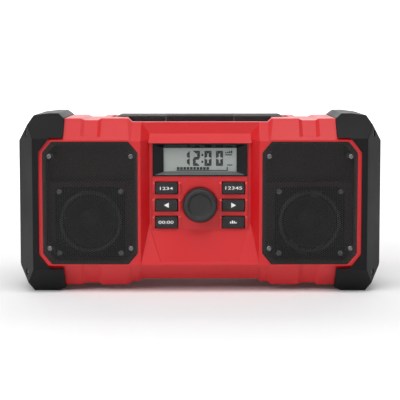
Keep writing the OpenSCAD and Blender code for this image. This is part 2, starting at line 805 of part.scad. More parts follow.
module grille_right() {
    color(black) grille();
}
module grille_left() {
    color(black) mirror([1, 0, 0]) grille();
}
module grille_screws() {
    color(steel) sides() for (x = grille_screw_x, z = grille_screw_z) {
        rod_y(x, z, screw_r - 0.02, grille_y0 - 0.1, grille_y1 + 8);
        rod_y(x, z, head_r, grille_y0 - head_t, grille_y0);
    }
}

// ---- Speakers
flange_t = 3;
flange_y0 = baffle_front - flange_t;
roll_r = (spk_r - cone_r) / 2;
cone_y = flange_y0 + 1.5;
cone_t = 0.8;
cone_depth = 14;
coil_y0 = cone_y + cone_depth;
magnet_y = coil_y0 + 6;
plate_t = 4;
pole_r = coil_r - 1.6;
gap_r = coil_r + 1.2;
coil_l = 13;
spider_y = coil_y0 + 1;
spider_r = gap_r + 10;

module spk_turn() {
    translate([spk_x, 0, spk_z]) rotate([-90, 0, 0]) rotate_extrude() children();
}
module speaker_frame() {
    difference() {
        union() {
            span_y(flange_y0, baffle_front) translate([spk_x, spk_z])
                round_rect(-spk_flange, -spk_flange, spk_flange, spk_flange, 10);
            spk_turn() polygon([
                [spk_r, flange_y0 + 0.5], [spk_r + 0.8, flange_y0 + 0.5], [spk_r + 0.8, baffle_back],
                [magnet_r, spider_y + 3], [magnet_r, magnet_y], [gap_r + 3, magnet_y],
                [gap_r + 3, magnet_y - 2], [magnet_r - 2, magnet_y - 2], [magnet_r - 2, spider_y + 3],
                [spk_r - 1.2, baffle_back - 1], [spk_r - 1.2, baffle_front]]);
        }
        rod_y(spk_x, spk_z, spk_r, flange_y0 - 1, baffle_front - 0.5);
        rod_y(spk_x, spk_z, spk_r - 1.2, flange_y0 - 1, baffle_back);
        for (p = flange_holes)
            rod_y(spk_x + p[0], spk_z + p[1], screw_r + 0.3, flange_y0 - 1, baffle_front + 1);
        for (a = [0:60:300]) translate([spk_x, 0, spk_z]) rotate([0, a, 0])
            block([spk_r - 14, baffle_back + 1, -6], [spk_r + 4, spider_y + 2, 6]);
        // seat of the spider
        rod_y(spk_x, spk_z, spider_r + 0.1, spider_y - 1, spider_y + 1.2);
    }
}
module surround() {
    // a half roll that joins the cone to the flange
    ring_r = (spk_r + cone_r) / 2;
    spk_turn() {
        difference() {
            translate([ring_r, cone_y]) circle(roll_r);
            translate([ring_r, cone_y]) circle(roll_r - 0.8);
            translate([0, cone_y]) square([2 * spk_r, roll_r + 1]);
        }
        translate([ring_r + roll_r - 0.8, cone_y]) square([0.8 - 0.05, baffle_front - 0.5 - cone_y]);
    }
}
module cone() {
    spk_turn() polygon([
        [cone_r + 0.6, cone_y + 0.05], [cone_r + 0.6, cone_y + 0.8], [cone_r, cone_y + 0.8 + cone_t],
        [coil_r + 0.4, coil_y0 + cone_t], [coil_r + 0.4, coil_y0], [cone_r - 0.8, cone_y + 0.05]]);
}
module dust_cap() {
    cap_r = coil_r + 3;
    h = 5;
    ball = (cap_r * cap_r + h * h) / (2 * h);
    base_y = coil_y0 - 2.9;
    translate([spk_x, 0, spk_z]) intersection() {
        difference() {
            translate([0, base_y - h + ball, 0]) rotate([90, 0, 0]) sphere(ball);
            translate([0, base_y - h + ball, 0]) rotate([90, 0, 0]) sphere(ball - cone_t);
        }
        translate([0, base_y, 0]) rotate([90, 0, 0]) cylinder(h = 2 * h, r = cap_r + 1);
    }
}
module voice_coil() {
    spk_turn() translate([coil_r, coil_y0 - 1.4]) square([0.4, coil_l]);
}
module spider() {
    // flat suspension with a fine wave
    waves = 4;
    step = (spider_r - coil_r - 1.4) / waves / 2;
    spk_turn() for (i = [0:2 * waves - 1]) let (r = coil_r + 0.9 + i * step, up = i % 2 == 0 ? 0 : 0.5)
        translate([r, spider_y + up]) square([step + 0.3, 0.6]);
}
module magnet() {
    spk_turn() {
        // front plate, ring magnet, back plate and pole
        translate([gap_r, magnet_y]) square([magnet_r - 1 - gap_r, plate_t]);
        translate([gap_r + 2, magnet_y + plate_t]) square([magnet_r - gap_r - 2, magnet_t]);
        translate([0, magnet_y + plate_t + magnet_t]) square([magnet_r - 1, plate_t]);
        translate([0, magnet_y]) square([pole_r, plate_t + magnet_t + 1]);
    }
}
module speaker_frame_right() { color(black) speaker_frame(); }
module speaker_frame_left() { color(black) mirror([1, 0, 0]) speaker_frame(); }
module surround_right() { color(rubber) surround(); }
module surround_left() { color(rubber) mirror([1, 0, 0]) surround(); }
module cone_right() { color(paper) cone(); }
module cone_left() { color(paper) mirror([1, 0, 0]) cone(); }
module dust_cap_right() { color(paper) dust_cap(); }
module dust_cap_left() { color(paper) mirror([1, 0, 0]) dust_cap(); }
module voice_coil_right() { color(copper) voice_coil(); }
module voice_coil_left() { color(copper) mirror([1, 0, 0]) voice_coil(); }
module spider_right() { color([0.75, 0.6, 0.3]) spider(); }
module spider_left() { color([0.75, 0.6, 0.3]) mirror([1, 0, 0]) spider(); }
module magnet_right() { color(steel) magnet(); }
module magnet_left() { color(steel) mirror([1, 0, 0]) magnet(); }
module speaker_screws() {
    color(steel) sides() for (p = flange_holes) {
        rod_y(spk_x + p[0], spk_z + p[1], screw_r - 0.02, flange_y0 - 0.1, baffle_back - 0.5);
        rod_y(spk_x + p[0], spk_z + p[1], head_r, flange_y0 - head_t, flange_y0);
    }
}

// ---- Display
board_y = panel_back + 9;
lens_y = panel_y + 7;
lens_t = 1.5;
module lcd_bezel() {
    edge = bezel_lip + lay;
    color(black) difference() {
        union() {
            block([-bezel_w / 2, panel_y - 1, bezel_z], [bezel_w / 2, panel_y, bezel_z + bezel_h]);
            block([-bezel_w / 2 + edge, panel_y - 0.5, bezel_z + edge],
                  [bezel_w / 2 - edge, lens_y, bezel_z + bezel_h - edge]);
        }
        hull() {
            block([-bezel_w / 2 + 1, panel_y - 1.01, bezel_z + 1],
                  [bezel_w / 2 - 1, panel_y - 1, bezel_z + bezel_h - 1]);
            block([-lcd_w / 2, lens_y, lcd_z], [lcd_w / 2, lens_y + 0.01, lcd_z + lcd_h]);
        }
    }
}
module lcd_lens() {
    color(grey_glass, 0.5) block([-lcd_w / 2 - 2, lens_y, lcd_z - 1.2],
                                 [lcd_w / 2 + 2, lens_y + lens_t, lcd_z + lcd_h + 1.2]);
}
module lcd_module() {
    y0 = lens_y + lens_t;
    color(grey_glass) {
        block([-lcd_w / 2 - 3, y0, lcd_z - 1.6], [lcd_w / 2 + 3, y0 + 2.5, lcd_z + lcd_h + 2]);
        block([-lcd_w / 2, y0 + 2.4, lcd_z + 1], [lcd_w / 2, board_y, lcd_z + lcd_h - 1]);
    }
}

// ---- Keys
mat_t = 1.2;
dome_h = 2.4;
module key(side, row) {
    z = key_rows[row];
    w = key_w / 2;
    h = key_h / 2;
    crown = 0.6;
    translate([side * key_x, 0, z]) {
        span_y(panel_y - key_up + crown, panel_back + lay) round_rect(-w, -h, w, h, 1.2);
        span_y(panel_y - key_up, panel_y - key_up + crown)
            round_rect(-w + crown, -h + crown, w - crown, h - crown, 1);
        span_y(panel_back + lay, panel_back + lay + 1)
            intersection() {
                round_rect(-w - 1.4, -h - 1.4, w + 1.4, h + 1.4, 1.2);
                square([2 * w + 2.8, 2 * h + 2.8], center = true);
            }
        rod_y(0, 0, 2.5, panel_back + 1, board_y - mat_t - dome_h - key_travel - clear);
    }
}
module key_top_left() { color(rubber) key(-1, 0); }
module key_mid_left() { color(rubber) key(-1, 1); }
module key_low_left() { color(rubber) key(-1, 2); }
module key_top_right() { color(rubber) key(1, 0); }
module key_mid_right() { color(rubber) key(1, 1); }
module key_low_right() { color(rubber) key(1, 2); }
module keypad() {
    // one rubber mat a side, with a dome behind each key
    pad_w = key_w / 2 + 1;
    color(rubber) sides() {
        block([key_x - pad_w, board_y - mat_t, key_rows[2] - key_h / 2],
              [key_x + pad_w, board_y, key_rows[0] + key_h / 2]);
        for (z = key_rows) translate([key_x, board_y - mat_t, z]) rotate([90, 0, 0])
            cylinder(h = dome_h, r1 = 5, r2 = 3);
    }
}

// ---- Knob on a push encoder
shaft_r = 3;
bush_r = 4.5;
knob_back = panel_y + knob_well_d - knob_travel - clear;
knob_front = knob_back - knob_l;
encoder_y0 = board_y - 6.5;
encoder_w = 13;
plunger_t = 1.2;
shaft_end = board_y - plunger_t - knob_travel - 0.4;
dish_r = 12.3;
module knob_turn() {
    translate([0, 0, knob_z]) rotate([-90, 0, 0]) rotate_extrude() children();
}
module knob() {
    r = knob_d / 2;
    color(rubber) difference() {
        knob_turn() polygon([
            [0, knob_back], [r - 0.6, knob_back], [r, knob_back - 1.2], [r - 0.5, knob_front + 3],
            [r - 1, knob_front + 1.4], [r - 2.4, knob_front], [dish_r + 0.8, knob_front + 0.4],
            [dish_r, knob_front + 1.6], [0, knob_front + 2.6]]);
        rod_y(0, knob_z, shaft_r, knob_front + 6, knob_back + 1);
        difference() {
            rod_y(0, knob_z, r - 3, knob_front + 7, knob_back + 1);
            rod_y(0, knob_z, shaft_r + 2, knob_front + 6, knob_back + 2);
        }
    }
}
module encoder_shaft() {
    color(steel) rod_y(0, knob_z, shaft_r, knob_front + 6, shaft_end);
}
module encoder_plunger() {
    color(copper) rod_y(0, knob_z, shaft_r - 0.4, shaft_end, shaft_end + plunger_t);
}
module encoder_body() {
    color(steel) difference() {
        union() {
            block([-encoder_w / 2, encoder_y0, knob_z - encoder_w / 2],
                  [encoder_w / 2, board_y, knob_z + encoder_w / 2]);
            rod_y(0, knob_z, bush_r, panel_y + knob_well_d + 1.4, encoder_y0 + 1);
        }
        rod_y(0, knob_z, shaft_r + run, panel_y - wall, board_y - 0.4);
    }
}

// ---- Boards
board_x = 58;
panel_bosses = [for (s = [-1, 1]) each [[s * 54.6, key_rows[2] - 4], [s * 54.6, bezel_z + bezel_h - 6]]];
main_y = bay_y - wall - 14;
antenna_r = 5;
antenna_z = core_low + step_d + keel_d + wall + 10;
main_z0 = antenna_z + antenna_r + 9;
main_z1 = pocket_floor - 8;
main_bosses = [for (s = [-1, 1]) each [[s * 40, main_z0 + 6], [s * 40, main_z1 - 6]]];
module control_board() {
    color(green) difference() {
        block([-board_x, board_y, key_rows[2] - 9], [board_x, board_y + board_t, bezel_z + bezel_h + 1]);
        for (p = panel_bosses) rod_y(p[0], p[1], screw_r + 0.2, board_y - 1, board_y + board_t + 1);
    }
}
module main_board() {
    color(green) difference() {
        block([-bay_x, main_y, main_z0], [bay_x, main_y + board_t, main_z1]);
        for (p = main_bosses) rod_y(p[0], p[1], screw_r + 0.2, main_y - 1, main_y + board_t + 1);
    }
    // capacitors, coils and plugs on the board
    color(black) {
        for (x = [-34, -20]) rod_y(x, main_z0 + 22, 5, main_y - 16, main_y);
        block([-8, main_y - 9, main_z0 + 4], [6, main_y, main_z0 + 12]);
        block([12, main_y - 9, main_z0 + 4], [26, main_y, main_z0 + 12]);
        block([-12, main_y - 3, main_z0 + 34], [2, main_y, main_z0 + 48]);
    }
}
module board_screws() {
    color(steel) {
        for (p = panel_bosses) {
            rod_y(p[0], p[1], screw_r - 0.02, board_y - 7, board_y + board_t + 0.1);
            rod_y(p[0], p[1], head_r - 0.5, board_y + board_t, board_y + board_t + head_t);
        }
        for (p = main_bosses) {
            rod_y(p[0], p[1], screw_r - 0.02, main_y - 0.1, main_y + board_t + 7);
            rod_y(p[0], p[1], head_r - 0.5, main_y - head_t, main_y);
        }
    }
}
module heat_sink() {
    fins = 7;
    pitch = 4;
    fin_t = 1.6;
    x0 = 10;
    z0 = main_z0 + 20;
    z1 = z0 + 32;
    color([0.7, 0.71, 0.73]) {
        block([x0, main_y - 3, z0], [x0 + (fins - 1) * pitch + fin_t, main_y, z1]);
        for (i = [0:fins - 1])
            block([x0 + i * pitch, main_y - 16, z0], [x0 + i * pitch + fin_t, main_y - 2, z1]);
    }
}
module tuner_shield() {
    can = [36, 8, 26];
    at = [-can[0], main_y - can[1], main_z1 - can[2] - 4];
    color(steel) difference() {
        block(at, at + can);
        block(at + [0.6, 0.6, 0.6], at + can - [0.6, -1, 0.6]);
    }
}
antenna_y = 0;
antenna_x = 42;
module antenna_clips() {
    sides() difference() {
        block([antenna_x - 12, antenna_y - 8, antenna_z - 12],
              [antenna_x - 8, antenna_y + 8, antenna_z + 1]);
        span_x(antenna_x - 14, antenna_x - 6) translate([antenna_y, antenna_z]) {
            circle(antenna_r);
            translate([-antenna_r + 0.6, 0]) square([2 * antenna_r - 1.2, 10]);
        }
    }
}
module ferrite_antenna() {
    color([0.2, 0.19, 0.19]) span_x(-antenna_x, antenna_x)
        translate([antenna_y, antenna_z]) circle(antenna_r);
    color(copper) span_x(16 - antenna_x, 2)
        translate([antenna_y, antenna_z]) circle(antenna_r + 0.8);
}

// ---- Battery pack on its dock
rail_neck = 5;
rail_head_t = 4;
rail_neck_t = 6;
pack_y0 = bay_y + rail_head_t - 1;
pack_y1 = pack_y0 + pack_t;
pack_z = bay_z + 4;
rail_z = pack_z + 8;
stem_y = bay_y + rail_neck_t;
head_y = stem_y + rail_head_t;
cell_pitch = cell_d + 0.2;
cell_y = pack_y1 - 2.5 - cell_d / 2;
cell_z = pack_z + 3 + cell_d / 2;
latch_h = 12;
latch_z = pack_z + pack_h - latch_h - 4;
latch_w = 14;
latch_travel = 2.5;
latch_out = 1.5;
latch_back = pack_w / 2 - 13;
latch_y = pack_y1 - 15;
blade_t = 0.8;
blade_w = 4;
blade_x = [-15, -5, 5, 15];
blade_z = [rail_z + 12, rail_z + 36];
module battery_dock() {
    color(black) {
        block([-rail_x + rail_neck, bay_y, rail_z], [rail_x - rail_neck, stem_y + lay, rail_z + rail_h]);
        block([-rail_x, stem_y, rail_z], [rail_x, head_y, rail_z + rail_h]);
    }
}
module dock_terminals() {
    color(copper) for (x = blade_x)
        block([x - blade_t / 2, head_y, blade_z[0]], [x + blade_t / 2, head_y + blade_w, blade_z[1]]);
}
module battery_case() {
    w = pack_w / 2;
    slot_top = rail_z + rail_h + 2;
    color(black) difference() {
        translate([0, 0, pack_z]) linear_extrude(pack_h) polygon(both_sides([
            [w - 4, pack_y0], [w, pack_y0 + 4], [w, pack_y1 - 5], [w - 5, pack_y1]]));
        // rail slot, open at the bottom
        block([-rail_x + rail_neck - clear, bay_y - 1, 0],
              [rail_x - rail_neck + clear, stem_y + clear, slot_top]);
        block([-rail_x - clear, stem_y - clear, 0], [rail_x + clear, head_y + clear, slot_top]);
        for (x = blade_x) block([x - blade_t / 2 - clear, head_y, 0],
                                [x + blade_t / 2 + clear, head_y + blade_w + clear, blade_z[1] + 4]);
        for (i = [0:cell_n - 1]) span_x(-cell_l / 2 - 0.2, cell_l / 2 + 0.2)
            translate([cell_y, cell_z + i * cell_pitch]) circle(cell_d / 2 + 0.05);
        sides() block([latch_back - clear, latch_y - clear, latch_z - clear],
                      [w + 1, latch_y + latch_w + clear, latch_z + latch_h + clear]);
    }
}
module battery_cells() {
    color([0.25, 0.42, 0.60]) for (i = [0:cell_n - 1]) span_x(-cell_l / 2, cell_l / 2)
        translate([cell_y, cell_z + i * cell_pitch]) circle(cell_d / 2);
}
module battery_latch() {
    w = pack_w / 2;
    block([latch_back + latch_travel, latch_y, latch_z], [w, latch_y + latch_w, latch_z + latch_h]);
    // ridges for the thumb
    for (z = [1.5, 5.1, 8.7]) block([w - 0.5, latch_y + 1.5, latch_z + z],
                                    [w + latch_out, latch_y + latch_w - 1.5, latch_z + z + 1.8]);
}
module battery_latch_right() { color(red) battery_latch(); }
module battery_latch_left() { color(red) mirror([1, 0, 0]) battery_latch(); }

// ---- Socket compartment at the rear left
aux_x0 = -aux_x - aux_w / 2;
aux_x1 = -aux_x + aux_w / 2;
aux_z0 = aux_z - aux_h / 2;
aux_z1 = aux_z + aux_h / 2;
aux_y0 = face_y - aux_d;
door_y = face_y - door_t;
door_gap = 0.6;
hinge_z = aux_z0 + 4.2;
hinge_y = face_y - 3;
hinge_lug = 6;
hinge_lug_r = 3;
module aux_walls() {
    block([aux_x0 - wall, aux_y0 - wall, aux_z0 - wall], [aux_x1 + wall, face_y - 1, aux_z1 + wall]);
}
module aux_void() {
    difference() {
        block([aux_x0, aux_y0, aux_z0], [aux_x1, body_d, aux_z1]);
        // hinge lugs at the lower corners, and a ledge for the top of the door
        difference() {
            for (x = [aux_x0, aux_x1 - hinge_lug]) span_x(x, x + hinge_lug) {
                translate([hinge_y, hinge_z]) circle(hinge_lug_r);
                translate([hinge_y - hinge_lug_r, aux_z0 - 1])
                    square([2 * hinge_lug_r, hinge_z - aux_z0 + 1]);
            }
            span_x(aux_x0 - 1, aux_x1 + 1) translate([hinge_y, hinge_z]) circle(hinge_r);
        }
        block([aux_x0 - 1, door_y - 2.5 - seal_t, aux_z1 - 2],
              [aux_x1 + 1, door_y - seal_t - lay, aux_z1 + 1]);
    }
    // blind holes for the pin
    span_x(aux_x0 - 1.5, aux_x0 + 1) translate([hinge_y, hinge_z]) circle(hinge_r);
}
seal_t = 1.4;
module aux_door() {
    x0 = aux_x0 + door_gap;
    x1 = aux_x1 - door_gap;
    color(black) difference() {
        union() {
            block([x0, door_y, hinge_z + 4], [x1, face_y, aux_z1 - door_gap]);
            block([x0 + hinge_lug, door_y, hinge_z - 2.4], [x1 - hinge_lug, face_y, hinge_z + 5]);
            span_x(x0 + hinge_lug, x1 - hinge_lug) translate([hinge_y, hinge_z]) circle(hinge_lug_r);
            // finger lip
            block([-aux_x - 9, face_y - 1, aux_z1 - 7], [-aux_x + 9, face_y + 2.5, aux_z1 - 4]);
        }
        span_x(aux_x0 - 1, aux_x1 + 1) translate([hinge_y, hinge_z]) circle(hinge_r + run);
    }
}
module aux_door_pin() {
    color(steel) span_x(aux_x0 - 1.4, aux_x1 - 0.4) translate([hinge_y, hinge_z]) circle(hinge_r);
}
module aux_door_seal() {
    w = 2.4;
    x0 = aux_x0 + 1.4;
    x1 = aux_x1 - 1.4;
    z0 = hinge_z + 5;
    z1 = aux_z1 - 2.6;
    color(rubber) span_y(door_y - seal_t, door_y) difference() {
        round_rect(x0, z0, x1, z1, 3);
        round_rect(x0 + w, z0 + w, x1 - w, z1 - w, 2);
    }
}
jack_x = -aux_x - 16;
usb_x = -aux_x + 10;
socket_t = 3;
module aux_panel() {
    y1 = aux_y0 + socket_t;
    color(black) difference() {
        union() {
            block([aux_x0 + 1, aux_y0, aux_z0 + 12], [aux_x1 - 1, y1, aux_z1 - 4]);
            rod_y(jack_x, aux_z, 4, aux_y0, aux_y0 + jack_l + 1);
            block([usb_x - 9, aux_y0, aux_z - 5], [usb_x + 9, aux_y0 + 9, aux_z + 5]);
        }
        rod_y(jack_x, aux_z, jack_r, aux_y0 + 1, body_d);
        block([usb_x - 6.2, aux_y0 + 1, aux_z - 2.4], [usb_x + 6.2, body_d, aux_z + 2.4]);
    }
    color(steel) block([usb_x - 5.6, aux_y0 + 0.5, aux_z], [usb_x + 5.6, aux_y0 + 8, aux_z + 1.6]);
}

// ---- Power inlet with a rubber cap at the rear right
plug_cap_t = 2.2;
plug_cap_r = inlet_r + 3;
tab_w = 5;
cap_hinge_z = inlet_z + plug_cap_r + 2.5;
module dc_jack() {
    color(black) difference() {
        rod_y(inlet_x, inlet_z, inlet_r, face_y - 13, face_y - 0.4);
        rod_y(inlet_x, inlet_z, inlet_r - 1.2, face_y - 11, face_y + 1);
    }
    color(steel) rod_y(inlet_x, inlet_z, 1, face_y - 12, face_y - 3);
}
module dc_jack_cap() {
    color(rubber) {
        rod_y(inlet_x, inlet_z, plug_cap_r, face_y + lay, face_y + plug_cap_t);
        block([inlet_x - tab_w, face_y + lay, inlet_z],
              [inlet_x + tab_w, face_y + plug_cap_t, cap_hinge_z]);
        rod_y(inlet_x, inlet_z, inlet_r - 1.9, face_y - 1.6, face_y + 1);
    }
}

front_housing();
rear_housing();
end_cap_left();
end_cap_right();
end_cap_screws();
housing_screws();
handle_frame();
handle_grip();
handle_screws();
grille_left();
grille_right();
grille_screws();
speaker_frame_left();
speaker_frame_right();
surround_left();
surround_right();
cone_left();
cone_right();
dust_cap_left();
dust_cap_right();
voice_coil_left();
voice_coil_right();
spider_left();
spider_right();
magnet_left();
magnet_right();
speaker_screws();
lcd_bezel();
lcd_lens();
lcd_module();
key_top_left();
key_mid_left();
key_low_left();
key_top_right();
key_mid_right();
key_low_right();
keypad();
knob();
encoder_shaft();
encoder_plunger();
encoder_body();
control_board();
main_board();
board_screws();
heat_sink();
tuner_shield();
ferrite_antenna();
battery_case();
battery_cells();
battery_latch_left();
battery_latch_right();
battery_dock();
dock_terminals();
aux_door();
aux_door_pin();
aux_door_seal();
aux_panel();
dc_jack();
dc_jack_cap();
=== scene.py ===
import math

import bmesh
import bpy
from mathutils import Matrix, Vector


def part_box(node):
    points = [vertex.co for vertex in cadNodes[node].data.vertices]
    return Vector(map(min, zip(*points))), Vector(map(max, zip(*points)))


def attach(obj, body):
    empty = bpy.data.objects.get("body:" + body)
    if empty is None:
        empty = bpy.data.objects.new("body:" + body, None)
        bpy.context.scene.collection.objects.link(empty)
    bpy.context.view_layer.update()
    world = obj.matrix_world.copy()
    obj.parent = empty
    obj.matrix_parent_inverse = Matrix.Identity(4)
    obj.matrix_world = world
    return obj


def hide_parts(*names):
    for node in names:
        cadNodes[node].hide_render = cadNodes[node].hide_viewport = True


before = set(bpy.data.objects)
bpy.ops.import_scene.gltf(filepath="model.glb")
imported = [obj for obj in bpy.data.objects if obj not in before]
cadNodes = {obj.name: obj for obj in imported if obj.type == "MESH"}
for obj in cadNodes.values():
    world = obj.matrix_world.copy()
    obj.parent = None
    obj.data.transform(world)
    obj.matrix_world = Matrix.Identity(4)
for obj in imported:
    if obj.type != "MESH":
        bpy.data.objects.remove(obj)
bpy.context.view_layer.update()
mm = 0.001
print("frame loaded,", len(cadNodes), "nodes")


# Lowest and highest corner of a node in millimetres
def boxOf(nodeName):
    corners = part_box(nodeName)
    return [[c / mm for c in corner] for corner in corners]


# camera at the angle of the photograph
view = {"lens": 127.35, "distance": 1.618, "elevation": 5.58, "aim": 94.7 * mm, "sensor": 36}


def makeCamera():
    data = bpy.data.cameras.new("photoCamera")
    data.lens = view["lens"]
    data.sensor_width = view["sensor"]
    data.clip_start = 0.05
    data.clip_end = 60
    camera = bpy.data.objects.new("photoCamera", data)
    bpy.context.scene.collection.objects.link(camera)
    tilt = math.radians(view["elevation"])
    camera.location = (0, -view["distance"] * math.cos(tilt),
                       view["aim"] + view["distance"] * math.sin(tilt))
    camera.rotation_euler = (math.pi / 2 - tilt, 0, 0)
    bpy.context.scene.camera = camera


makeCamera()
print("camera placed")


# node helpers
def addNode(tree, kind, inputs=None, **settings):
    node = tree.nodes.new(kind)
    for key, value in settings.items():
        setattr(node, key, value)
    for key, value in (inputs or {}).items():
        if isinstance(value, bpy.types.NodeSocket):
            tree.links.new(value, node.inputs[key])
        else:
            node.inputs[key].default_value = value
    return node


def mixColours(tree, share, first, second, blend="MIX"):
    # sockets 0, 6 and 7 are the colour mix's factor and its two colours
    node = addNode(tree, "ShaderNodeMix", {0: share, 6: first, 7: second}, data_type="RGBA",
                   blend_type=blend)
    return node.outputs[2]


def spread(tree, value, low, high, fromLow=0.3, fromHigh=0.7):
    return addNode(tree, "ShaderNodeMapRange", {
        "Value": value, "From Min": fromLow, "From Max": fromHigh, "To Min": low,
        "To Max": high}).outputs[0]


def rgba(colour):
    return (*colour, 1)


# what every finish starts from; each finish below changes some of it
plainLook = {
    "colour": (0.5, 0.5, 0.5), "drift": (0.45, 0.45, 0.45), "driftScale": 14,
    "rough": 0.45, "roughSpan": 0.06, "grain": "noise", "grainScale": 1500, "grainDepth": 0.25,
    "grainHeight": 0.00012, "stretch": (1, 1, 1), "scuff": 0.0, "scuffColour": (0.6, 0.6, 0.6),
    "grainShade": 0.22, "grainTone": 0.55, "scuffStretch": (9, 30, 160), "metallic": 0,
    "edge": 0, "paintedShade": None, "sockets": {},
}


# Paints shade: darkens what lies in a box and in its mirror image; the box is in millimetres
def paintShadeInside(tree, place, colour, paintedShade):
    low, high, shade = paintedShade
    axes = addNode(tree, "ShaderNodeSeparateXYZ", {0: place})
    across = addNode(tree, "ShaderNodeMath", {0: axes.outputs[0]}, operation="ABSOLUTE")
    inside = None
    for value, least, most in zip((across.outputs[0], axes.outputs[1], axes.outputs[2]), low, high):
        off = addNode(tree, "ShaderNodeMath", {0: value, 1: (least + most) / 2 * mm,
                                               2: (most - least) / 2 * mm}, operation="COMPARE")
        inside = off.outputs[0] if inside is None else addNode(
            tree, "ShaderNodeMath", {0: inside, 1: off.outputs[0]}, operation="MULTIPLY").outputs[0]
    return mixColours(tree, inside, colour, rgba(shade))


def makeFinish(name, **changes):
    look = {**plainLook, **changes}
    material = bpy.data.materials.new(name)
    material.use_nodes = True
    tree = material.node_tree
    shader = tree.nodes["Principled BSDF"]
    place = addNode(tree, "ShaderNodeTexCoord").outputs["Object"]
    stretched = addNode(tree, "ShaderNodeMapping", {"Vector": place, "Scale": look["stretch"]})
    # slow drift of the tone over the piece
    drift = addNode(tree, "ShaderNodeTexNoise", {
        "Vector": place, "Scale": look["driftScale"], "Detail": 3.0, "Roughness": 0.55})
    colour = mixColours(tree, spread(tree, drift.outputs[0], 0, 1), rgba(look["colour"]),
                        rgba(look["drift"]))
    # fine grain of the mould, the sheet or the paper
    if look["grain"] == "cells":
        grain = addNode(tree, "ShaderNodeTexVoronoi", {
            "Vector": stretched.outputs[0], "Scale": look["grainScale"]}).outputs["Distance"]
    elif look["grain"] == "weave":
        across = addNode(tree, "ShaderNodeTexWave", {
            "Vector": stretched.outputs[0], "Scale": look["grainScale"]}, bands_direction="X")
        along = addNode(tree, "ShaderNodeTexWave", {
            "Vector": stretched.outputs[0], "Scale": look["grainScale"]}, bands_direction="Z")
        grain = addNode(tree, "ShaderNodeMath", {0: across.outputs[1], 1: along.outputs[1]},
                        operation="MAXIMUM").outputs[0]
    else:
        grain = addNode(tree, "ShaderNodeTexNoise", {
            "Vector": stretched.outputs[0], "Scale": look["grainScale"], "Detail": 4.0}).outputs[0]
    colour = mixColours(tree, spread(tree, grain, 0.0, look["grainShade"], 0.0, 1.0), colour,
                        rgba([c * look["grainTone"] for c in look["colour"]]))
    roughness = spread(tree, drift.outputs[0], look["rough"] - look["roughSpan"],
                       look["rough"] + look["roughSpan"])
    if look["scuff"] > 0:
        # short faint rubs, long in one direction
        lines = addNode(tree, "ShaderNodeMapping", {
            "Vector": place, "Scale": look["scuffStretch"], "Rotation": (0.3, 0.5, 0.2)})
        rub = addNode(tree, "ShaderNodeTexNoise", {
            "Vector": lines.outputs[0], "Scale": 3.0, "Detail": 5.0, "Roughness": 0.6})
        mask = spread(tree, rub.outputs[0], 0.0, look["scuff"], 0.62, 0.75)
        colour = mixColours(tree, mask, colour, rgba(look["scuffColour"]))
    # painted shade inside a box, where the finish asks for it
    if look["paintedShade"]:
        colour = paintShadeInside(tree, place, colour, look["paintedShade"])
    tree.links.new(colour, shader.inputs["Base Color"])
    tree.links.new(roughness, shader.inputs["Roughness"])
    bump = addNode(tree, "ShaderNodeBump", {
        "Height": grain, "Strength": look["grainDepth"], "Distance": look["grainHeight"]})
    tree.links.new(bump.outputs[0], shader.inputs["Normal"])
    if look["edge"] > 0:
        # the light runs round the edges of a moulding, which its mesh leaves sharp
        soft = addNode(tree, "ShaderNodeBevel", {"Radius": look["edge"] * mm}, samples=6)
        tree.links.new(soft.outputs[0], bump.inputs["Normal"])
    shader.inputs["Metallic"].default_value = look["metallic"]
    for key, value in look["sockets"].items():
        shader.inputs[key].default_value = value
    return material


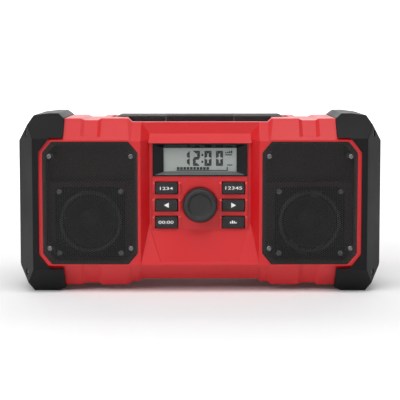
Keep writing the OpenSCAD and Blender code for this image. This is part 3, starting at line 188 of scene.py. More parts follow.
redLook = {
    "colour": (0.60, 0.006, 0.010), "drift": (0.57, 0.005, 0.008), "rough": 0.42,
    "grainScale": 1900, "grainDepth": 0.18, "scuff": 0.04, "scuffColour": (0.66, 0.04, 0.045),
    "edge": 0.8, "sockets": {"Specular IOR Level": 0.60},
}
# where the painted shade in the chambers starts, in from the grille's edge, and its dark red
chamberShade = {"in": 0.8, "colour": (0.045, 0.002, 0.003)}
grilleLow, grilleHigh = boxOf("grille_right")
finishLooks = {
    "redPlastic": redLook,
    # painted shade: the chambers behind the grilles are darkened to a dim red, standing for the
    # shade that falls inside them
    "frontRedPaintedShade": {**redLook, "paintedShade": (
        (grilleLow[0] + chamberShade["in"], grilleHigh[1], grilleLow[2] + chamberShade["in"]),
        (grilleHigh[0] - chamberShade["in"], 0, grilleHigh[2] - chamberShade["in"]), chamberShade["colour"])},
    "blackPlastic": dict(
        colour=(0.010, 0.010, 0.011), drift=(0.008, 0.008, 0.009), rough=0.48,
        grain="cells", grainScale=1300, grainDepth=0.35, scuff=0.08,
        scuffColour=(0.030, 0.030, 0.031), sockets={"Specular IOR Level": 0.14}),
    "softRubber": dict(
        colour=(0.016, 0.015, 0.016), drift=(0.013, 0.012, 0.013), rough=0.55,
        grain="cells", grainScale=1700, grainDepth=0.30, sockets={"Specular IOR Level": 0.50}),
    "handleBlack": dict(
        colour=(0.014, 0.014, 0.015), drift=(0.011, 0.011, 0.012), rough=0.28,
        grain="cells", grainScale=1300, grainDepth=0.10, sockets={"Specular IOR Level": 0.80}),
    "gripRubber": dict(
        colour=(0.014, 0.013, 0.014), drift=(0.011, 0.010, 0.011), rough=0.30,
        grain="cells", grainScale=1700, grainDepth=0.10, sockets={"Specular IOR Level": 0.60}),
    "keyRubber": dict(
        colour=(0.016, 0.016, 0.017), drift=(0.013, 0.013, 0.014), rough=0.42,
        grainScale=2600, grainDepth=0.15, sockets={"Specular IOR Level": 0.40}),
    "glossBlack": dict(
        colour=(0.007, 0.008, 0.009), drift=(0.005, 0.006, 0.007), rough=0.20,
        grainScale=900, grainDepth=0.05, sockets={"Specular IOR Level": 0.25}),
    "coatedSteel": dict(
        colour=(0.017, 0.018, 0.017), drift=(0.014, 0.015, 0.014), rough=0.38,
        grainScale=2600, grainDepth=0.20, sockets={"Specular IOR Level": 0.40}),
    "surroundRubber": dict(
        colour=(0.022, 0.022, 0.023), drift=(0.017, 0.017, 0.018), rough=0.24,
        grainScale=1200, grainDepth=0.10, sockets={"Specular IOR Level": 0.7}),
    # light grey of the grip's collars, a painted highlight
    "gripSeam": dict(
        colour=(0.150, 0.148, 0.150), drift=(0.120, 0.118, 0.120), rough=0.45,
        grainScale=1800, grainDepth=0.15),
    "screwSteel": dict(
        colour=(0.34, 0.34, 0.35), drift=(0.24, 0.24, 0.25), driftScale=240,
        rough=0.26, grainScale=2500, grainDepth=0.15, metallic=1),
    "darkSteel": dict(
        colour=(0.26, 0.26, 0.265), drift=(0.16, 0.16, 0.165), driftScale=240,
        rough=0.22, grainScale=2500, grainDepth=0.15, metallic=1),
    "bareSteel": dict(
        colour=(0.52, 0.52, 0.53), drift=(0.44, 0.44, 0.45), driftScale=60,
        rough=0.30, grainScale=240, stretch=(1, 14, 1), grainDepth=0.12, metallic=1),
    "paperCone": dict(
        colour=(0.022, 0.022, 0.023), drift=(0.016, 0.016, 0.017), driftScale=120,
        rough=0.60, grainScale=900, grainDepth=0.6),
    "spiderCloth": dict(
        colour=(0.45, 0.30, 0.10), drift=(0.38, 0.25, 0.08), rough=0.75,
        grain="weave", grainScale=420, grainDepth=0.8),
    "copperWire": dict(
        colour=(0.66, 0.33, 0.15), drift=(0.55, 0.26, 0.11), rough=0.28,
        grainScale=900, stretch=(0.1, 4, 0.1), grainDepth=0.4, metallic=1),
    "displayGlass": dict(
        colour=(0.350, 0.385, 0.362), drift=(0.338, 0.372, 0.350), driftScale=12,
        rough=0.42, grainScale=3200, grainDepth=0.03, grainShade=0.03),
    # grey of the strip on the bezel's lower slope, a painted highlight
    "displaySill": dict(
        colour=(0.120, 0.128, 0.126), drift=(0.100, 0.108, 0.105), driftScale=40,
        rough=0.35, grainScale=1800, grainDepth=0.08),
    "displayInk": dict(
        colour=(0.010, 0.012, 0.012), drift=(0.014, 0.016, 0.016), driftScale=200,
        rough=0.6, grainScale=2500, grainDepth=0.05),
    "whiteInk": dict(
        colour=(0.86, 0.86, 0.86), drift=(0.78, 0.78, 0.79), driftScale=300,
        rough=0.5, grainScale=2500, grainDepth=0.1),
    "circuitBoard": dict(
        colour=(0.03, 0.16, 0.07), drift=(0.05, 0.24, 0.10), driftScale=180,
        rough=0.35, grain="weave", grainScale=260, grainDepth=0.2),
    "aluminium": dict(
        colour=(0.60, 0.61, 0.62), drift=(0.52, 0.53, 0.54), driftScale=50,
        rough=0.32, grainScale=300, stretch=(12, 1, 1), grainDepth=0.15, metallic=1),
    "ferrite": dict(
        colour=(0.05, 0.05, 0.05), drift=(0.08, 0.08, 0.08), driftScale=300,
        rough=0.6, grainScale=1200, grainDepth=0.5),
    "cellWrap": dict(
        colour=(0.05, 0.16, 0.32), drift=(0.04, 0.13, 0.27), driftScale=40,
        rough=0.25, grainScale=600, grainDepth=0.05),
    "redLatch": dict(
        colour=(0.56, 0.012, 0.014), drift=(0.50, 0.010, 0.012), rough=0.40,
        grainScale=1800, grainDepth=0.2),
    "gaugeGreen": dict(
        colour=(0.05, 0.45, 0.12), drift=(0.03, 0.32, 0.08), driftScale=400,
        rough=0.3, grainScale=1500, grainDepth=0.1),
}
finishes = {name: makeFinish(name, **look) for name, look in finishLooks.items()}


def makeLensFinish():
    # clear polycarbonate, thin enough to show only as a faint film with a gloss
    material = bpy.data.materials.new("clearLens")
    material.use_nodes = True
    tree = material.node_tree
    shader = tree.nodes["Principled BSDF"]
    place = addNode(tree, "ShaderNodeTexCoord").outputs["Object"]
    haze = addNode(tree, "ShaderNodeTexNoise", {"Vector": place, "Scale": 20.0, "Detail": 2.0})
    tree.links.new(spread(tree, haze.outputs[0], 0.04, 0.07), shader.inputs["Roughness"])
    tree.links.new(spread(tree, haze.outputs[0], 0.014, 0.018), shader.inputs["Alpha"])
    shader.inputs["Base Color"].default_value = (0.75, 0.80, 0.78, 1)
    return material


finishes["clearLens"] = makeLensFinish()
print("finishes made,", len(finishes))


# mesh helpers
def linkPiece(name, mesh, body, finish):
    piece = bpy.data.objects.new(name, mesh)
    bpy.context.scene.collection.objects.link(piece)
    if finish:
        mesh.materials.clear()
        mesh.materials.append(finishes[finish])
    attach(piece, body)
    return piece


def meshFrom(bm, name, smoothAngle=None):
    bmesh.ops.recalc_face_normals(bm, faces=bm.faces)
    mesh = bpy.data.meshes.new(name)
    bm.to_mesh(mesh)
    bm.free()
    if smoothAngle is not None:
        mesh.shade_smooth()
        mesh.set_sharp_from_angle(angle=math.radians(smoothAngle))
    return mesh


# Long sharp edges of a moulded piece get a small radius. The copy stands for its node.
def roundedCopy(nodeName, pieceName, body, finish, radius, shortest=3.0, sharpest=14):
    bm = bmesh.new()
    bm.from_mesh(cadNodes[nodeName].data)
    bmesh.ops.remove_doubles(bm, verts=bm.verts, dist=2e-6)
    bmesh.ops.dissolve_limit(bm, angle_limit=math.radians(0.6), verts=bm.verts, edges=bm.edges)
    bmesh.ops.dissolve_degenerate(bm, dist=1e-6, edges=bm.edges)
    room = radius * mm * 1.8
    longEdges = [e for e in bm.edges if len(e.link_faces) == 2
                 and e.calc_length() > shortest * mm
                 and e.calc_face_angle(0) > math.radians(sharpest)]
    clear = []
    for edge in longEdges:
        near = [e for v in edge.verts for e in v.link_edges if e is not edge]
        if all(e.calc_length() > room for e in near):
            clear.append(edge)
    bmesh.ops.bevel(bm, geom=clear, offset=radius * mm, offset_type="OFFSET", segments=2,
                    profile=0.5, affect="EDGES", clamp_overlap=False, material=-1)
    bmesh.ops.triangulate(bm, faces=[f for f in bm.faces if len(f.verts) > 4])
    mesh = bpy.data.meshes.new(pieceName)
    bm.to_mesh(mesh)
    bm.free()
    mesh.shade_flat()
    piece = linkPiece(pieceName, mesh, body, finish)
    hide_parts(nodeName)
    return piece


# Walls between rings of as many corners, each ring joined to the next
def joinRings(bm, rings):
    for first, second in zip(rings, rings[1:]):
        for i in range(len(first)):
            j = (i + 1) % len(first)
            bm.faces.new((first[i], first[j], second[j], second[i]))


# The same with both ends shut
def closedTube(bm, rings):
    joinRings(bm, rings)
    bm.faces.new(rings[0])
    bm.faces.new(rings[-1])


# Turns a profile of (radius, depth) in millimetres about a line along the depth
def turned(profile, x, z, segments=72):
    bm = bmesh.new()
    rings = []
    for radius, depth in profile:
        if radius < 1e-6:
            rings.append([bm.verts.new((x * mm, depth * mm, z * mm))])
            continue
        ring = []
        for i in range(segments):
            turn = 2 * math.pi * i / segments
            ring.append(bm.verts.new(((x + radius * math.cos(turn)) * mm, depth * mm,
                                      (z + radius * math.sin(turn)) * mm)))
        rings.append(ring)
    for first, second in zip(rings, rings[1:]):
        for i in range(segments):
            j = (i + 1) % segments
            if len(first) == 1 and len(second) == 1:
                continue
            if len(first) == 1:
                bm.faces.new((first[0], second[i], second[j]))
            elif len(second) == 1:
                bm.faces.new((first[i], first[j], second[0]))
            else:
                bm.faces.new((first[i], first[j], second[j], second[i]))
    return bm


def roundedOutline(halfX, halfZ, corner, steps=5):
    points = []
    for quarter, (sx, sz) in enumerate(((1, 1), (-1, 1), (-1, -1), (1, -1))):
        for i in range(steps + 1):
            turn = math.pi / 2 * (quarter + i / steps)
            points.append((sx * (halfX - corner) + corner * math.cos(turn),
                           sz * (halfZ - corner) + corner * math.sin(turn)))
    return points


# A closed body of stacked rounded outlines: (inset, depth) in millimetres from back to front
def stacked(x, z, halfX, halfZ, corner, layers, steps=5):
    bm = bmesh.new()
    rings = []
    for inset, depth in layers:
        bend = max(corner - inset * 0.5, 0.3)
        outline = roundedOutline(halfX - inset, halfZ - inset, bend, steps)
        rings.append([bm.verts.new(((x + px) * mm, depth * mm, (z + pz) * mm))
                      for px, pz in outline])
    closedTube(bm, rings)
    return bm


# Flat marks: polygons of (x, z) in millimetres, from one depth to another
def marksMesh(name, polygons, back, front):
    bm = bmesh.new()
    for points in polygons:
        closedTube(bm, [[bm.verts.new((px * mm, depth * mm, pz * mm)) for px, pz in points]
                        for depth in (back, front)])
    return meshFrom(bm, name)


def boxPoints(x0, z0, x1, z1):
    return [(x0, z0), (x1, z0), (x1, z1), (x0, z1)]


# geometry nodes
def newTree(name, inputs):
    tree = bpy.data.node_groups.new(name, "GeometryNodeTree")
    tree.interface.new_socket("Geometry", in_out="INPUT", socket_type="NodeSocketGeometry")
    for label, kind in inputs:
        tree.interface.new_socket(label, in_out="INPUT", socket_type="NodeSocket" + kind)
    tree.interface.new_socket("Geometry", in_out="OUTPUT", socket_type="NodeSocketGeometry")
    return tree, tree.nodes.new("NodeGroupInput"), tree.nodes.new("NodeGroupOutput")


# Grows a mesh from seed points through a tree and leaves it a plain mesh
def grow(name, points, attributes, tree, values):
    seedMesh = bpy.data.meshes.new(name)
    seedMesh.from_pydata(points, [], [])
    for label, (kind, data) in attributes.items():
        layer = seedMesh.attributes.new(label, kind, "POINT")
        if kind == "FLOAT_VECTOR":
            layer.data.foreach_set("vector", [c for v in data for c in v])
        else:
            layer.data.foreach_set("value", data)
    seed = bpy.data.objects.new(name + "Seed", seedMesh)
    bpy.context.scene.collection.objects.link(seed)
    modifier = seed.modifiers.new("grow", "NODES")
    modifier.node_group = tree
    for item in tree.interface.items_tree:
        if item.in_out == "INPUT" and item.name in values:
            modifier[item.identifier] = values[item.name]
    bpy.context.view_layer.update()
    ready = seed.evaluated_get(bpy.context.evaluated_depsgraph_get())
    mesh = bpy.data.meshes.new_from_object(ready)
    mesh.name = name
    seed.modifiers.clear()
    bpy.data.objects.remove(seed)
    return mesh


# A sheet of six-sided cells that share their edges, some with a hole
def makeSheetTree():
    tree, source, target = newTree("perforatedSheet", [
        ("Pitch", "Float"), ("Hole Radius", "Float"), ("Thickness", "Float"),
        ("Hole Sides", "Int"), ("Finish", "Material")])
    radius = addNode(tree, "ShaderNodeMath", {0: source.outputs["Pitch"], 1: 3 ** -0.5},
                     operation="MULTIPLY")
    rim = addNode(tree, "GeometryNodeCurvePrimitiveCircle",
                  {"Resolution": 6, "Radius": radius.outputs[0]})
    hole = addNode(tree, "GeometryNodeCurvePrimitiveCircle", {
        "Resolution": source.outputs["Hole Sides"], "Radius": source.outputs["Hole Radius"]})
    both = addNode(tree, "GeometryNodeJoinGeometry")
    tree.links.new(rim.outputs[0], both.inputs[0])
    tree.links.new(hole.outputs[0], both.inputs[0])
    openCell = addNode(tree, "GeometryNodeFillCurve", {"Curve": both.outputs[0]})
    shutCell = addNode(tree, "GeometryNodeFillCurve", {"Curve": rim.outputs[0]})
    isOpen = addNode(tree, "GeometryNodeInputNamedAttribute", {"Name": "open"},
                     data_type="BOOLEAN")
    sorted_ = addNode(tree, "GeometryNodeSeparateGeometry", {
        "Geometry": source.outputs["Geometry"], "Selection": isOpen.outputs[0]})
    cells = addNode(tree, "GeometryNodeJoinGeometry")
    for points, cell in ((sorted_.outputs[0], openCell), (sorted_.outputs[1], shutCell)):
        placed = addNode(tree, "GeometryNodeInstanceOnPoints",
                         {"Points": points, "Instance": cell.outputs[0]})
        tree.links.new(placed.outputs[0], cells.inputs[0])
    real = addNode(tree, "GeometryNodeRealizeInstances", {"Geometry": cells.outputs[0]})
    joined = addNode(tree, "GeometryNodeMergeByDistance",
                     {"Geometry": real.outputs[0], "Distance": 0.00002})
    front = addNode(tree, "GeometryNodeExtrudeMesh", {
        "Mesh": joined.outputs[0], "Offset Scale": source.outputs["Thickness"],
        "Individual": False})
    back = addNode(tree, "GeometryNodeFlipFaces", {"Mesh": joined.outputs[0]})
    shell = addNode(tree, "GeometryNodeJoinGeometry")
    tree.links.new(front.outputs[0], shell.inputs[0])
    tree.links.new(back.outputs[0], shell.inputs[0])
    closed = addNode(tree, "GeometryNodeMergeByDistance",
                     {"Geometry": shell.outputs[0], "Distance": 0.00002})
    coated = addNode(tree, "GeometryNodeSetMaterial", {
        "Geometry": closed.outputs[0], "Material": source.outputs["Finish"]})
    tree.links.new(coated.outputs[0], target.inputs[0])
    return tree


# Copies of one shape, each turned to face along its point's "facing" and spun by chance
def makeCopiesTree():
    tree, source, target = newTree("placedCopies", [
        ("Shape", "Object"), ("Spin", "Float"), ("Seed", "Int"), ("Finish", "Material")])
    shape = addNode(tree, "GeometryNodeObjectInfo", {"Object": source.outputs["Shape"]})
    facing = addNode(tree, "GeometryNodeInputNamedAttribute", {"Name": "facing"},
                     data_type="FLOAT_VECTOR")
    turn = addNode(tree, "FunctionNodeAlignRotationToVector", {"Vector": facing.outputs[0]},
                   axis="Z")
    # sockets 2 and 3 are the least and most of a random number, and 8 its seed
    chance = addNode(tree, "FunctionNodeRandomValue", {
        2: 0.0, 3: source.outputs["Spin"], 8: source.outputs["Seed"]}, data_type="FLOAT")
    spin = addNode(tree, "FunctionNodeAxisAngleToRotation", {
        "Axis": (0, 0, 1), "Angle": chance.outputs[1]})
    full = addNode(tree, "FunctionNodeRotateRotation", {
        "Rotation": turn.outputs[0], "Rotate By": spin.outputs[0]}, rotation_space="LOCAL")
    placed = addNode(tree, "GeometryNodeInstanceOnPoints", {
        "Points": source.outputs["Geometry"], "Instance": shape.outputs["Geometry"],
        "Rotation": full.outputs[0]})
    real = addNode(tree, "GeometryNodeRealizeInstances", {"Geometry": placed.outputs[0]})
    coated = addNode(tree, "GeometryNodeSetMaterial", {
        "Geometry": real.outputs[0], "Material": source.outputs["Finish"]})
    tree.links.new(coated.outputs[0], target.inputs[0])
    return tree


sheetTree = makeSheetTree()
copiesTree = makeCopiesTree()


def placeCopies(name, shapeMesh, places, body, finish, spin=0.0, seed=1):
    shape = bpy.data.objects.new(name + "Shape", shapeMesh)
    bpy.context.scene.collection.objects.link(shape)
    mesh = grow(name, [[c * mm for c in point] for point, _ in places],
                {"facing": ("FLOAT_VECTOR", [facing for _, facing in places])}, copiesTree,
                {"Shape": shape, "Spin": spin, "Seed": seed, "Finish": finishes[finish]})
    bpy.data.objects.remove(shape)
    return linkPiece(name, mesh, body, None)


print("geometry node trees built")


# mouldings
mouldings = {
    "end_cap_left": ("endCapLeft", "blackPlastic", 0.8, "black_plastic"),
    "end_cap_right": ("endCapRight", "blackPlastic", 0.8, "black_plastic"),
    "handle_frame": ("handleFrame", "handleBlack", 0.7, "black_plastic"),
    "handle_grip": ("handleGrip", "gripRubber", 0.6, "soft_rubber"),
    "lcd_bezel": ("displayBezel", "glossBlack", 0.25, "black_plastic"),
    "battery_dock": ("batteryDock", "blackPlastic", 0.4, "black_plastic"),
    "aux_panel": ("socketPanel", "blackPlastic", 0.4, "black_plastic"),
}
for nodeName, (pieceName, finish, radius, slotName) in mouldings.items():
    roundedCopy(nodeName, pieceName, "housing", finish, radius)
roundedCopy("battery_case", "packCase", "battery_pack", "blackPlastic", 0.8)
for side in ("left", "right"):
    roundedCopy("battery_latch_" + side, "packLatch" + side.title(), "pack_latch_" + side,
                "redLatch", 0.4, shortest=1.5)
roundedCopy("aux_door", "socketDoor", "socket_door", "blackPlastic", 0.5)
print("mouldings rounded")


# Thin light grey collars where the grip meets the bare ends of the handle: a painted highlight for
# the light that runs along these joints
seamHighlight = {"half": 0.35, "proud": 0.12, "cornerLow": 6, "cornerHigh": 2}


def makeGripSeamHighlights():
    d = seamHighlight
    (_, y0, z0), (x1, y1, z1) = boxOf("handle_grip")
    a, b, out = d["cornerLow"], d["cornerHigh"], d["proud"]
    section = [(y0 - out, z0 + a), (y0 + a, z0 - out), (y1 - a, z0 - out), (y1 + out, z0 + a),
               (y1 + out, z1 - b), (y1 - b, z1 + out), (y0 + b, z1 + out), (y0 - out, z1 - b)]
    for side, s in (("Left", -1), ("Right", 1)):
        bm = bmesh.new()
        closedTube(bm, [[bm.verts.new(((s * x1 + shift) * mm, y * mm, z * mm)) for y, z in section]
                        for shift in (-d["half"], d["half"])])
        name = "gripSeam" + side
        linkPiece(name, meshFrom(bm, name), "housing", "gripSeam")


makeGripSeamHighlights()


# grilles
grille = {
    "cornerX": 10.0, "cornerZ": 12.0, "pitch": 2.25, "hole": 0.94, "sides": 8, "thickness": 0.8,
    "rimWidth": 1.1, "fold": 0.35, "rimProud": 0.05, "rimSlope": 0.3, "rimFall": 0.5,
    "screwIn": 7.4, "screwLow": 17.6, "screwHigh": 16.0, "screwBlank": 3.9,
    "cornerShrink": 0.45, "cellReach": 0.6,
}
(grille["left"], grille["front"], grille["low"]), grilleEnd = boxOf("grille_right")
grille["width"], grille["height"] = grilleEnd[0] - grille["left"], grilleEnd[2] - grille["low"]
grille["rimBack"] = grilleEnd[1]
grille["screwX"] = (grille["left"] + grille["screwIn"], grilleEnd[0] - grille["screwIn"])
grille["screwZ"] = (grille["low"] + grille["screwLow"], grilleEnd[2] - grille["screwHigh"])


def cutCornerPoints(inset):
    g = grille
    x0, x1 = g["left"] + inset, g["left"] + g["width"] - inset
    z0, z1 = g["low"] + inset, g["low"] + g["height"] - inset
    slant = inset * g["cornerShrink"]
    cx, cz = g["cornerX"] - slant, g["cornerZ"] - slant
    return [(x0 + cx, z0), (x1 - cx, z0), (x1, z0 + cz), (x1, z1 - cz), (x1 - cx, z1),
            (x0 + cx, z1), (x0, z1 - cz), (x0, z0 + cz)]


def insideCutCorners(x, z, inset):
    points = cutCornerPoints(inset)
    for (ax, az), (bx, bz) in zip(points, points[1:] + points[:1]):
        if (bx - ax) * (z - az) - (bz - az) * (x - ax) < 0:
            return False
    return True


def sheetCells(mirror):
    g = grille
    midX, midZ = g["left"] + g["width"] / 2, g["low"] + g["height"] / 2
    column = g["pitch"] * math.sqrt(3) / 2
    points, opens = [], []
    countX, countZ = int(g["width"] / column / 2) + 1, int(g["height"] / g["pitch"] / 2) + 1
    for i in range(-countX, countX + 1):
        for j in range(-countZ, countZ + 1):
            x = midX + i * column
            z = midZ + (j + (i % 2) * 0.5) * g["pitch"]
            if not insideCutCorners(x, z, g["rimWidth"] * g["cellReach"]):
                continue
            fromScrew = min(math.hypot(x - a, z - b) for a in g["screwX"] for b in g["screwZ"])
            points.append((mirror * x * mm, z * mm, 0))
            opens.append(insideCutCorners(x, z, g["rimWidth"]) and fromScrew > g["screwBlank"])
    return points, opens


def makeGrille(side, mirror):
    g = grille
    points, opens = sheetCells(mirror)
    mesh = grow("grilleSheet" + side, points, {"open": ("BOOLEAN", opens)}, sheetTree, {
        "Pitch": g["pitch"] * mm, "Hole Radius": g["hole"] * mm, "Hole Sides": g["sides"],
        "Thickness": g["thickness"] * mm, "Finish": finishes["coatedSteel"]})
    # the sheet is grown lying down; it stands up facing the front
    mesh.transform(Matrix.Translation((0, (g["front"] + g["thickness"]) * mm, 0))
                   @ Matrix.Rotation(math.pi / 2, 4, "X"))
    piece = linkPiece("grilleSheet" + side, mesh, "housing", None)
    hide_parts("grille_" + side.lower())
    # folded rim round the sheet
    bm = bmesh.new()
    rings = []
    fold = g["fold"]
    for inset, depth in ((0.0, g["rimBack"]), (0.0, g["front"] + fold),
                         (fold, g["front"] - g["rimProud"]),
                         (g["rimWidth"], g["front"] - g["rimProud"]),
                         (g["rimWidth"] + g["rimSlope"], g["front"] + g["rimFall"]),
                         (g["rimWidth"] + g["rimSlope"], g["rimBack"])):
        rings.append([bm.verts.new((mirror * x * mm, depth * mm, z * mm))
                      for x, z in cutCornerPoints(inset)])
    joinRings(bm, rings + rings[:1])
    linkPiece("grilleRim" + side, meshFrom(bm, "grilleRim" + side), "housing", "coatedSteel")


makeGrille("Left", -1)
makeGrille("Right", 1)
print("grilles perforated")


# screws
screw = {"head": 3.0, "radius": 2.9, "height": 2.0, "shank": 1.45, "shankLength": 7.0, "slot": 1.75,
         "slotWidth": 0.42, "slotDepth": 1.1, "slotTaper": 0.7, "steps": 24,
         "crown": [(1, 0.35), (0.93, 0.68), (0.78, 0.90), (0.66, 1)]}


def screwMesh():
    s = screw
    bm = bmesh.new()
    steps = s["steps"]

    def ring(radius, height):
        return [bm.verts.new((radius * math.cos(2 * math.pi * i / steps) * mm,
                              radius * math.sin(2 * math.pi * i / steps) * mm, height * mm))
                for i in range(steps)]

    profile = [(s["shank"], -s["shankLength"]), (s["shank"], 0), (s["radius"], 0)]
    profile += [(s["radius"] * wide, s["height"] * tall) for wide, tall in s["crown"]]
    rings = [ring(*p) for p in profile]
    joinRings(bm, rings)
    bm.faces.new(rings[0])
    # cross recess
    a, w = s["slot"], s["slotWidth"]
    cross = [(a, -w), (a, w), (w, w), (w, a), (-w, a), (-w, w), (-a, w), (-a, -w), (-w, -w),
             (-w, -a), (w, -a), (w, -w)]
    upper = [bm.verts.new((x * mm, y * mm, s["height"] * mm)) for x, y in cross]
    taper, bottom = s["slotTaper"], s["height"] - s["slotDepth"]
    lower = [bm.verts.new((x * taper * mm, y * taper * mm, bottom * mm)) for x, y in cross]
    joinRings(bm, [lower, upper])
    bm.faces.new(lower)
    edges = [bm.edges.get((a, b)) for a, b in zip(upper, upper[1:] + upper[:1])]
    edges += [bm.edges.get((rings[-1][i], rings[-1][(i + 1) % steps])) for i in range(steps)]
    bmesh.ops.triangle_fill(bm, edges=edges, use_beauty=True)
    return meshFrom(bm, "screwShape", 40)


# where a cap's corner starts to slant, how far it runs, and how far along and in its screw sits
capCorner = {"x": 181.7, "y": 82.5, "runX": 18.3, "runY": 36, "along": 8.6, "sunk": 2.6}


def placeScrews():
    grillePlaces = [((s * x, grille["front"], z), (0, -1, 0)) for s in (-1, 1)
                    for x in grille["screwX"] for z in grille["screwZ"]]
    piece = placeCopies("grilleScrewSet", screwMesh(), grillePlaces, "housing", "darkSteel",
                        spin=1.57, seed=4)
    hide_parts("grille_screws")
    # the caps' screws stand square to the slanted corners
    c = capCorner
    slant = math.atan2(c["runY"], c["runX"])
    out = (math.sin(slant), math.cos(slant))
    capPlaces = []
    low, high = boxOf("end_cap_screws")
    for s in (-1, 1):
        for f in (-1, 1):
            for z in (low[2] + screw["head"], high[2] - screw["head"]):
                x = c["x"] + c["along"] - out[0] * c["sunk"]
                y = c["y"] - c["along"] * c["runY"] / c["runX"] - out[1] * c["sunk"]
                capPlaces.append(((s * x, f * y, z), (s * out[0], f * out[1], 0)))
    piece = placeCopies("capScrewSet", screwMesh(), capPlaces, "housing", "darkSteel",
                        spin=1.57, seed=9)
    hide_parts("end_cap_screws")


placeScrews()
print("screws placed")


# keys and knob
keys = {"flange": 1.4, "flangeFront": -62.4, "flangeBack": -61.4, "corner": 2.6,
        "crown": [(0, 1.5), (0.12, 0.8), (0.45, 0.25), (0.95, 0.05), (1.6, 0.05), (1.9, 0.18),
                  (2.2, 0.22)],
        "printBack": 0.3, "printFront": 0.12, "arrow": 2.9, "arrowTip": 2.9, "arrowFoot": 2.5,
        "bars": (2.1, 3.4, 2.7, 1.6), "barLeft": -3.7, "barPitch": 1.95, "barWidth": 1.3,
        "barLow": -1.3, "letterSwell": 0.008, "letterSteps": 3,
        "numbers": {("top", "left"): ("1234", 0.0, 7.1, -2.0, 1.4),
                    ("top", "right"): ("12345", 0.3, 9.2, -1.6, 1.8),
                    ("low", "left"): ("00:00", -0.6, 8.3, -1.6, 1.7)}}


# Middle, half size and front of one key, without the flange behind the panel
def keyPlace(row, side):
    low, high = boxOf(f"key_{row}_{side}")
    return {"x": (low[0] + high[0]) / 2, "z": (low[2] + high[2]) / 2, "front": low[1],
            "halfX": (high[0] - low[0]) / 2 - keys["flange"],
            "halfZ": (high[2] - low[2]) / 2 - keys["flange"]}


def makeKeys():
    k = keys
    for row in ("top", "mid", "low"):
        for side in ("left", "right"):
            at = keyPlace(row, side)
            front = at["front"]
            layers = [(-k["flange"], k["flangeBack"]), (-k["flange"], k["flangeFront"]),
                      (0, k["flangeFront"])]
            layers += [(inset, front + depth) for inset, depth in k["crown"]]
            name = f"keyCap{row.title()}{side.title()}"
            bm = stacked(at["x"], at["z"], at["halfX"], at["halfZ"], k["corner"], layers)
            piece = linkPiece(name, meshFrom(bm, name, 35), f"button_{row}_{side}", "keyRubber")
            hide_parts(f"key_{row}_{side}")


makeKeys()


# Plain numbers as a raised print, fitted into a rectangle
def numberPrint(name, text, x0, x1, z0, z1, back, front):
    curve = bpy.data.curves.new(name, "FONT")
    curve.body = text
    curve.offset = keys["letterSwell"]
    curve.extrude = 0.5
    curve.resolution_u = keys["letterSteps"]
    holder = bpy.data.objects.new(name, curve)
    bpy.context.scene.collection.objects.link(holder)
    bpy.context.view_layer.update()
    mesh = bpy.data.meshes.new_from_object(
        holder.evaluated_get(bpy.context.evaluated_depsgraph_get()))
    bpy.data.objects.remove(holder)
    xs = [v.co.x for v in mesh.vertices]
    ys = [v.co.y for v in mesh.vertices]
    for v in mesh.vertices:
        px = x0 + (v.co.x - min(xs)) / (max(xs) - min(xs)) * (x1 - x0)
        pz = z0 + (v.co.y - min(ys)) / (max(ys) - min(ys)) * (z1 - z0)
        v.co = (px * mm, (back if v.co.z < 0 else front) * mm, pz * mm)
    bm = bmesh.new()
    bm.from_mesh(mesh)
    bmesh.ops.remove_doubles(bm, verts=bm.verts, dist=1e-6)
    return meshFrom(bm, name)


def makeKeyPrints():
    k = keys
    for row in ("top", "mid", "low"):
        for side, s in (("left", -1), ("right", 1)):
            at = keyPlace(row, side)
            x, z = at["x"], at["z"]
            back, front = at["front"] + k["printBack"], at["front"] + k["printFront"]
            name = "keyPrint" + row.title() + side.title()
            if (row, side) in k["numbers"]:
                text, shift, half, low, high = k["numbers"][row, side]
                mesh = numberPrint(name, text, x + shift - half, x + shift + half, z + low,
                                   z + high, back, front)
            elif row == "mid":
                tip, foot = x + s * k["arrowTip"], x - s * k["arrowFoot"]
                arrow = [(tip, z), (foot, z - k["arrow"]), (foot, z + k["arrow"])]
                mesh = marksMesh(name, [arrow], back, front)
            else:
                bars = []
                for i, tall in enumerate(k["bars"]):
                    left, low = x + k["barLeft"] + k["barPitch"] * i, z + k["barLow"]
                    bars.append(boxPoints(left, low, left + k["barWidth"], low + tall))
                mesh = marksMesh(name, bars, back, front)
            linkPiece(name, mesh, f"button_{row}_{side}", "whiteInk")


makeKeyPrints()

# (in from the edge, back from the front), (out from the dish, back), (share of the dish, back)
knob = {"dish": 12.3, "foot": [(0.25, 0.3), (0, 1.2)],
        "rim": [(0.45, 3.2), (0.75, 1.8), (1.25, 0.95), (2.0, 0.35), (2.9, 0.05), (3.6, 0)],
        "lip": [(1.6, 0.15), (0.9, 0.4), (0.35, 0.95), (0.1, 1.7), (-0.25, 2.1), (-0.9, 2.3)],
        "floor": [(0.65, 2.45), (0.35, 2.55), (0, 2.6)]}


def makeKnob():
    low, high = boxOf("knob")
    r, f, b, d = (high[0] - low[0]) / 2, low[1], high[1], knob["dish"]
    profile = [(0, b), (r - 0.9, b)] + [(r - inset, b - rise) for inset, rise in knob["foot"]]
    profile += [(r - inset, f + depth) for inset, depth in knob["rim"]]
    profile += [(d + out, f + depth) for out, depth in knob["lip"]]
    profile += [(d * share, f + depth) for share, depth in knob["floor"]]
    bm = turned(profile, 0, (low[2] + high[2]) / 2, 96)
    piece = linkPiece("knobCap", meshFrom(bm, "knobCap", 50), "tuning_knob", "softRubber")
    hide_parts("knob")


makeKnob()
print("keys and knob made")


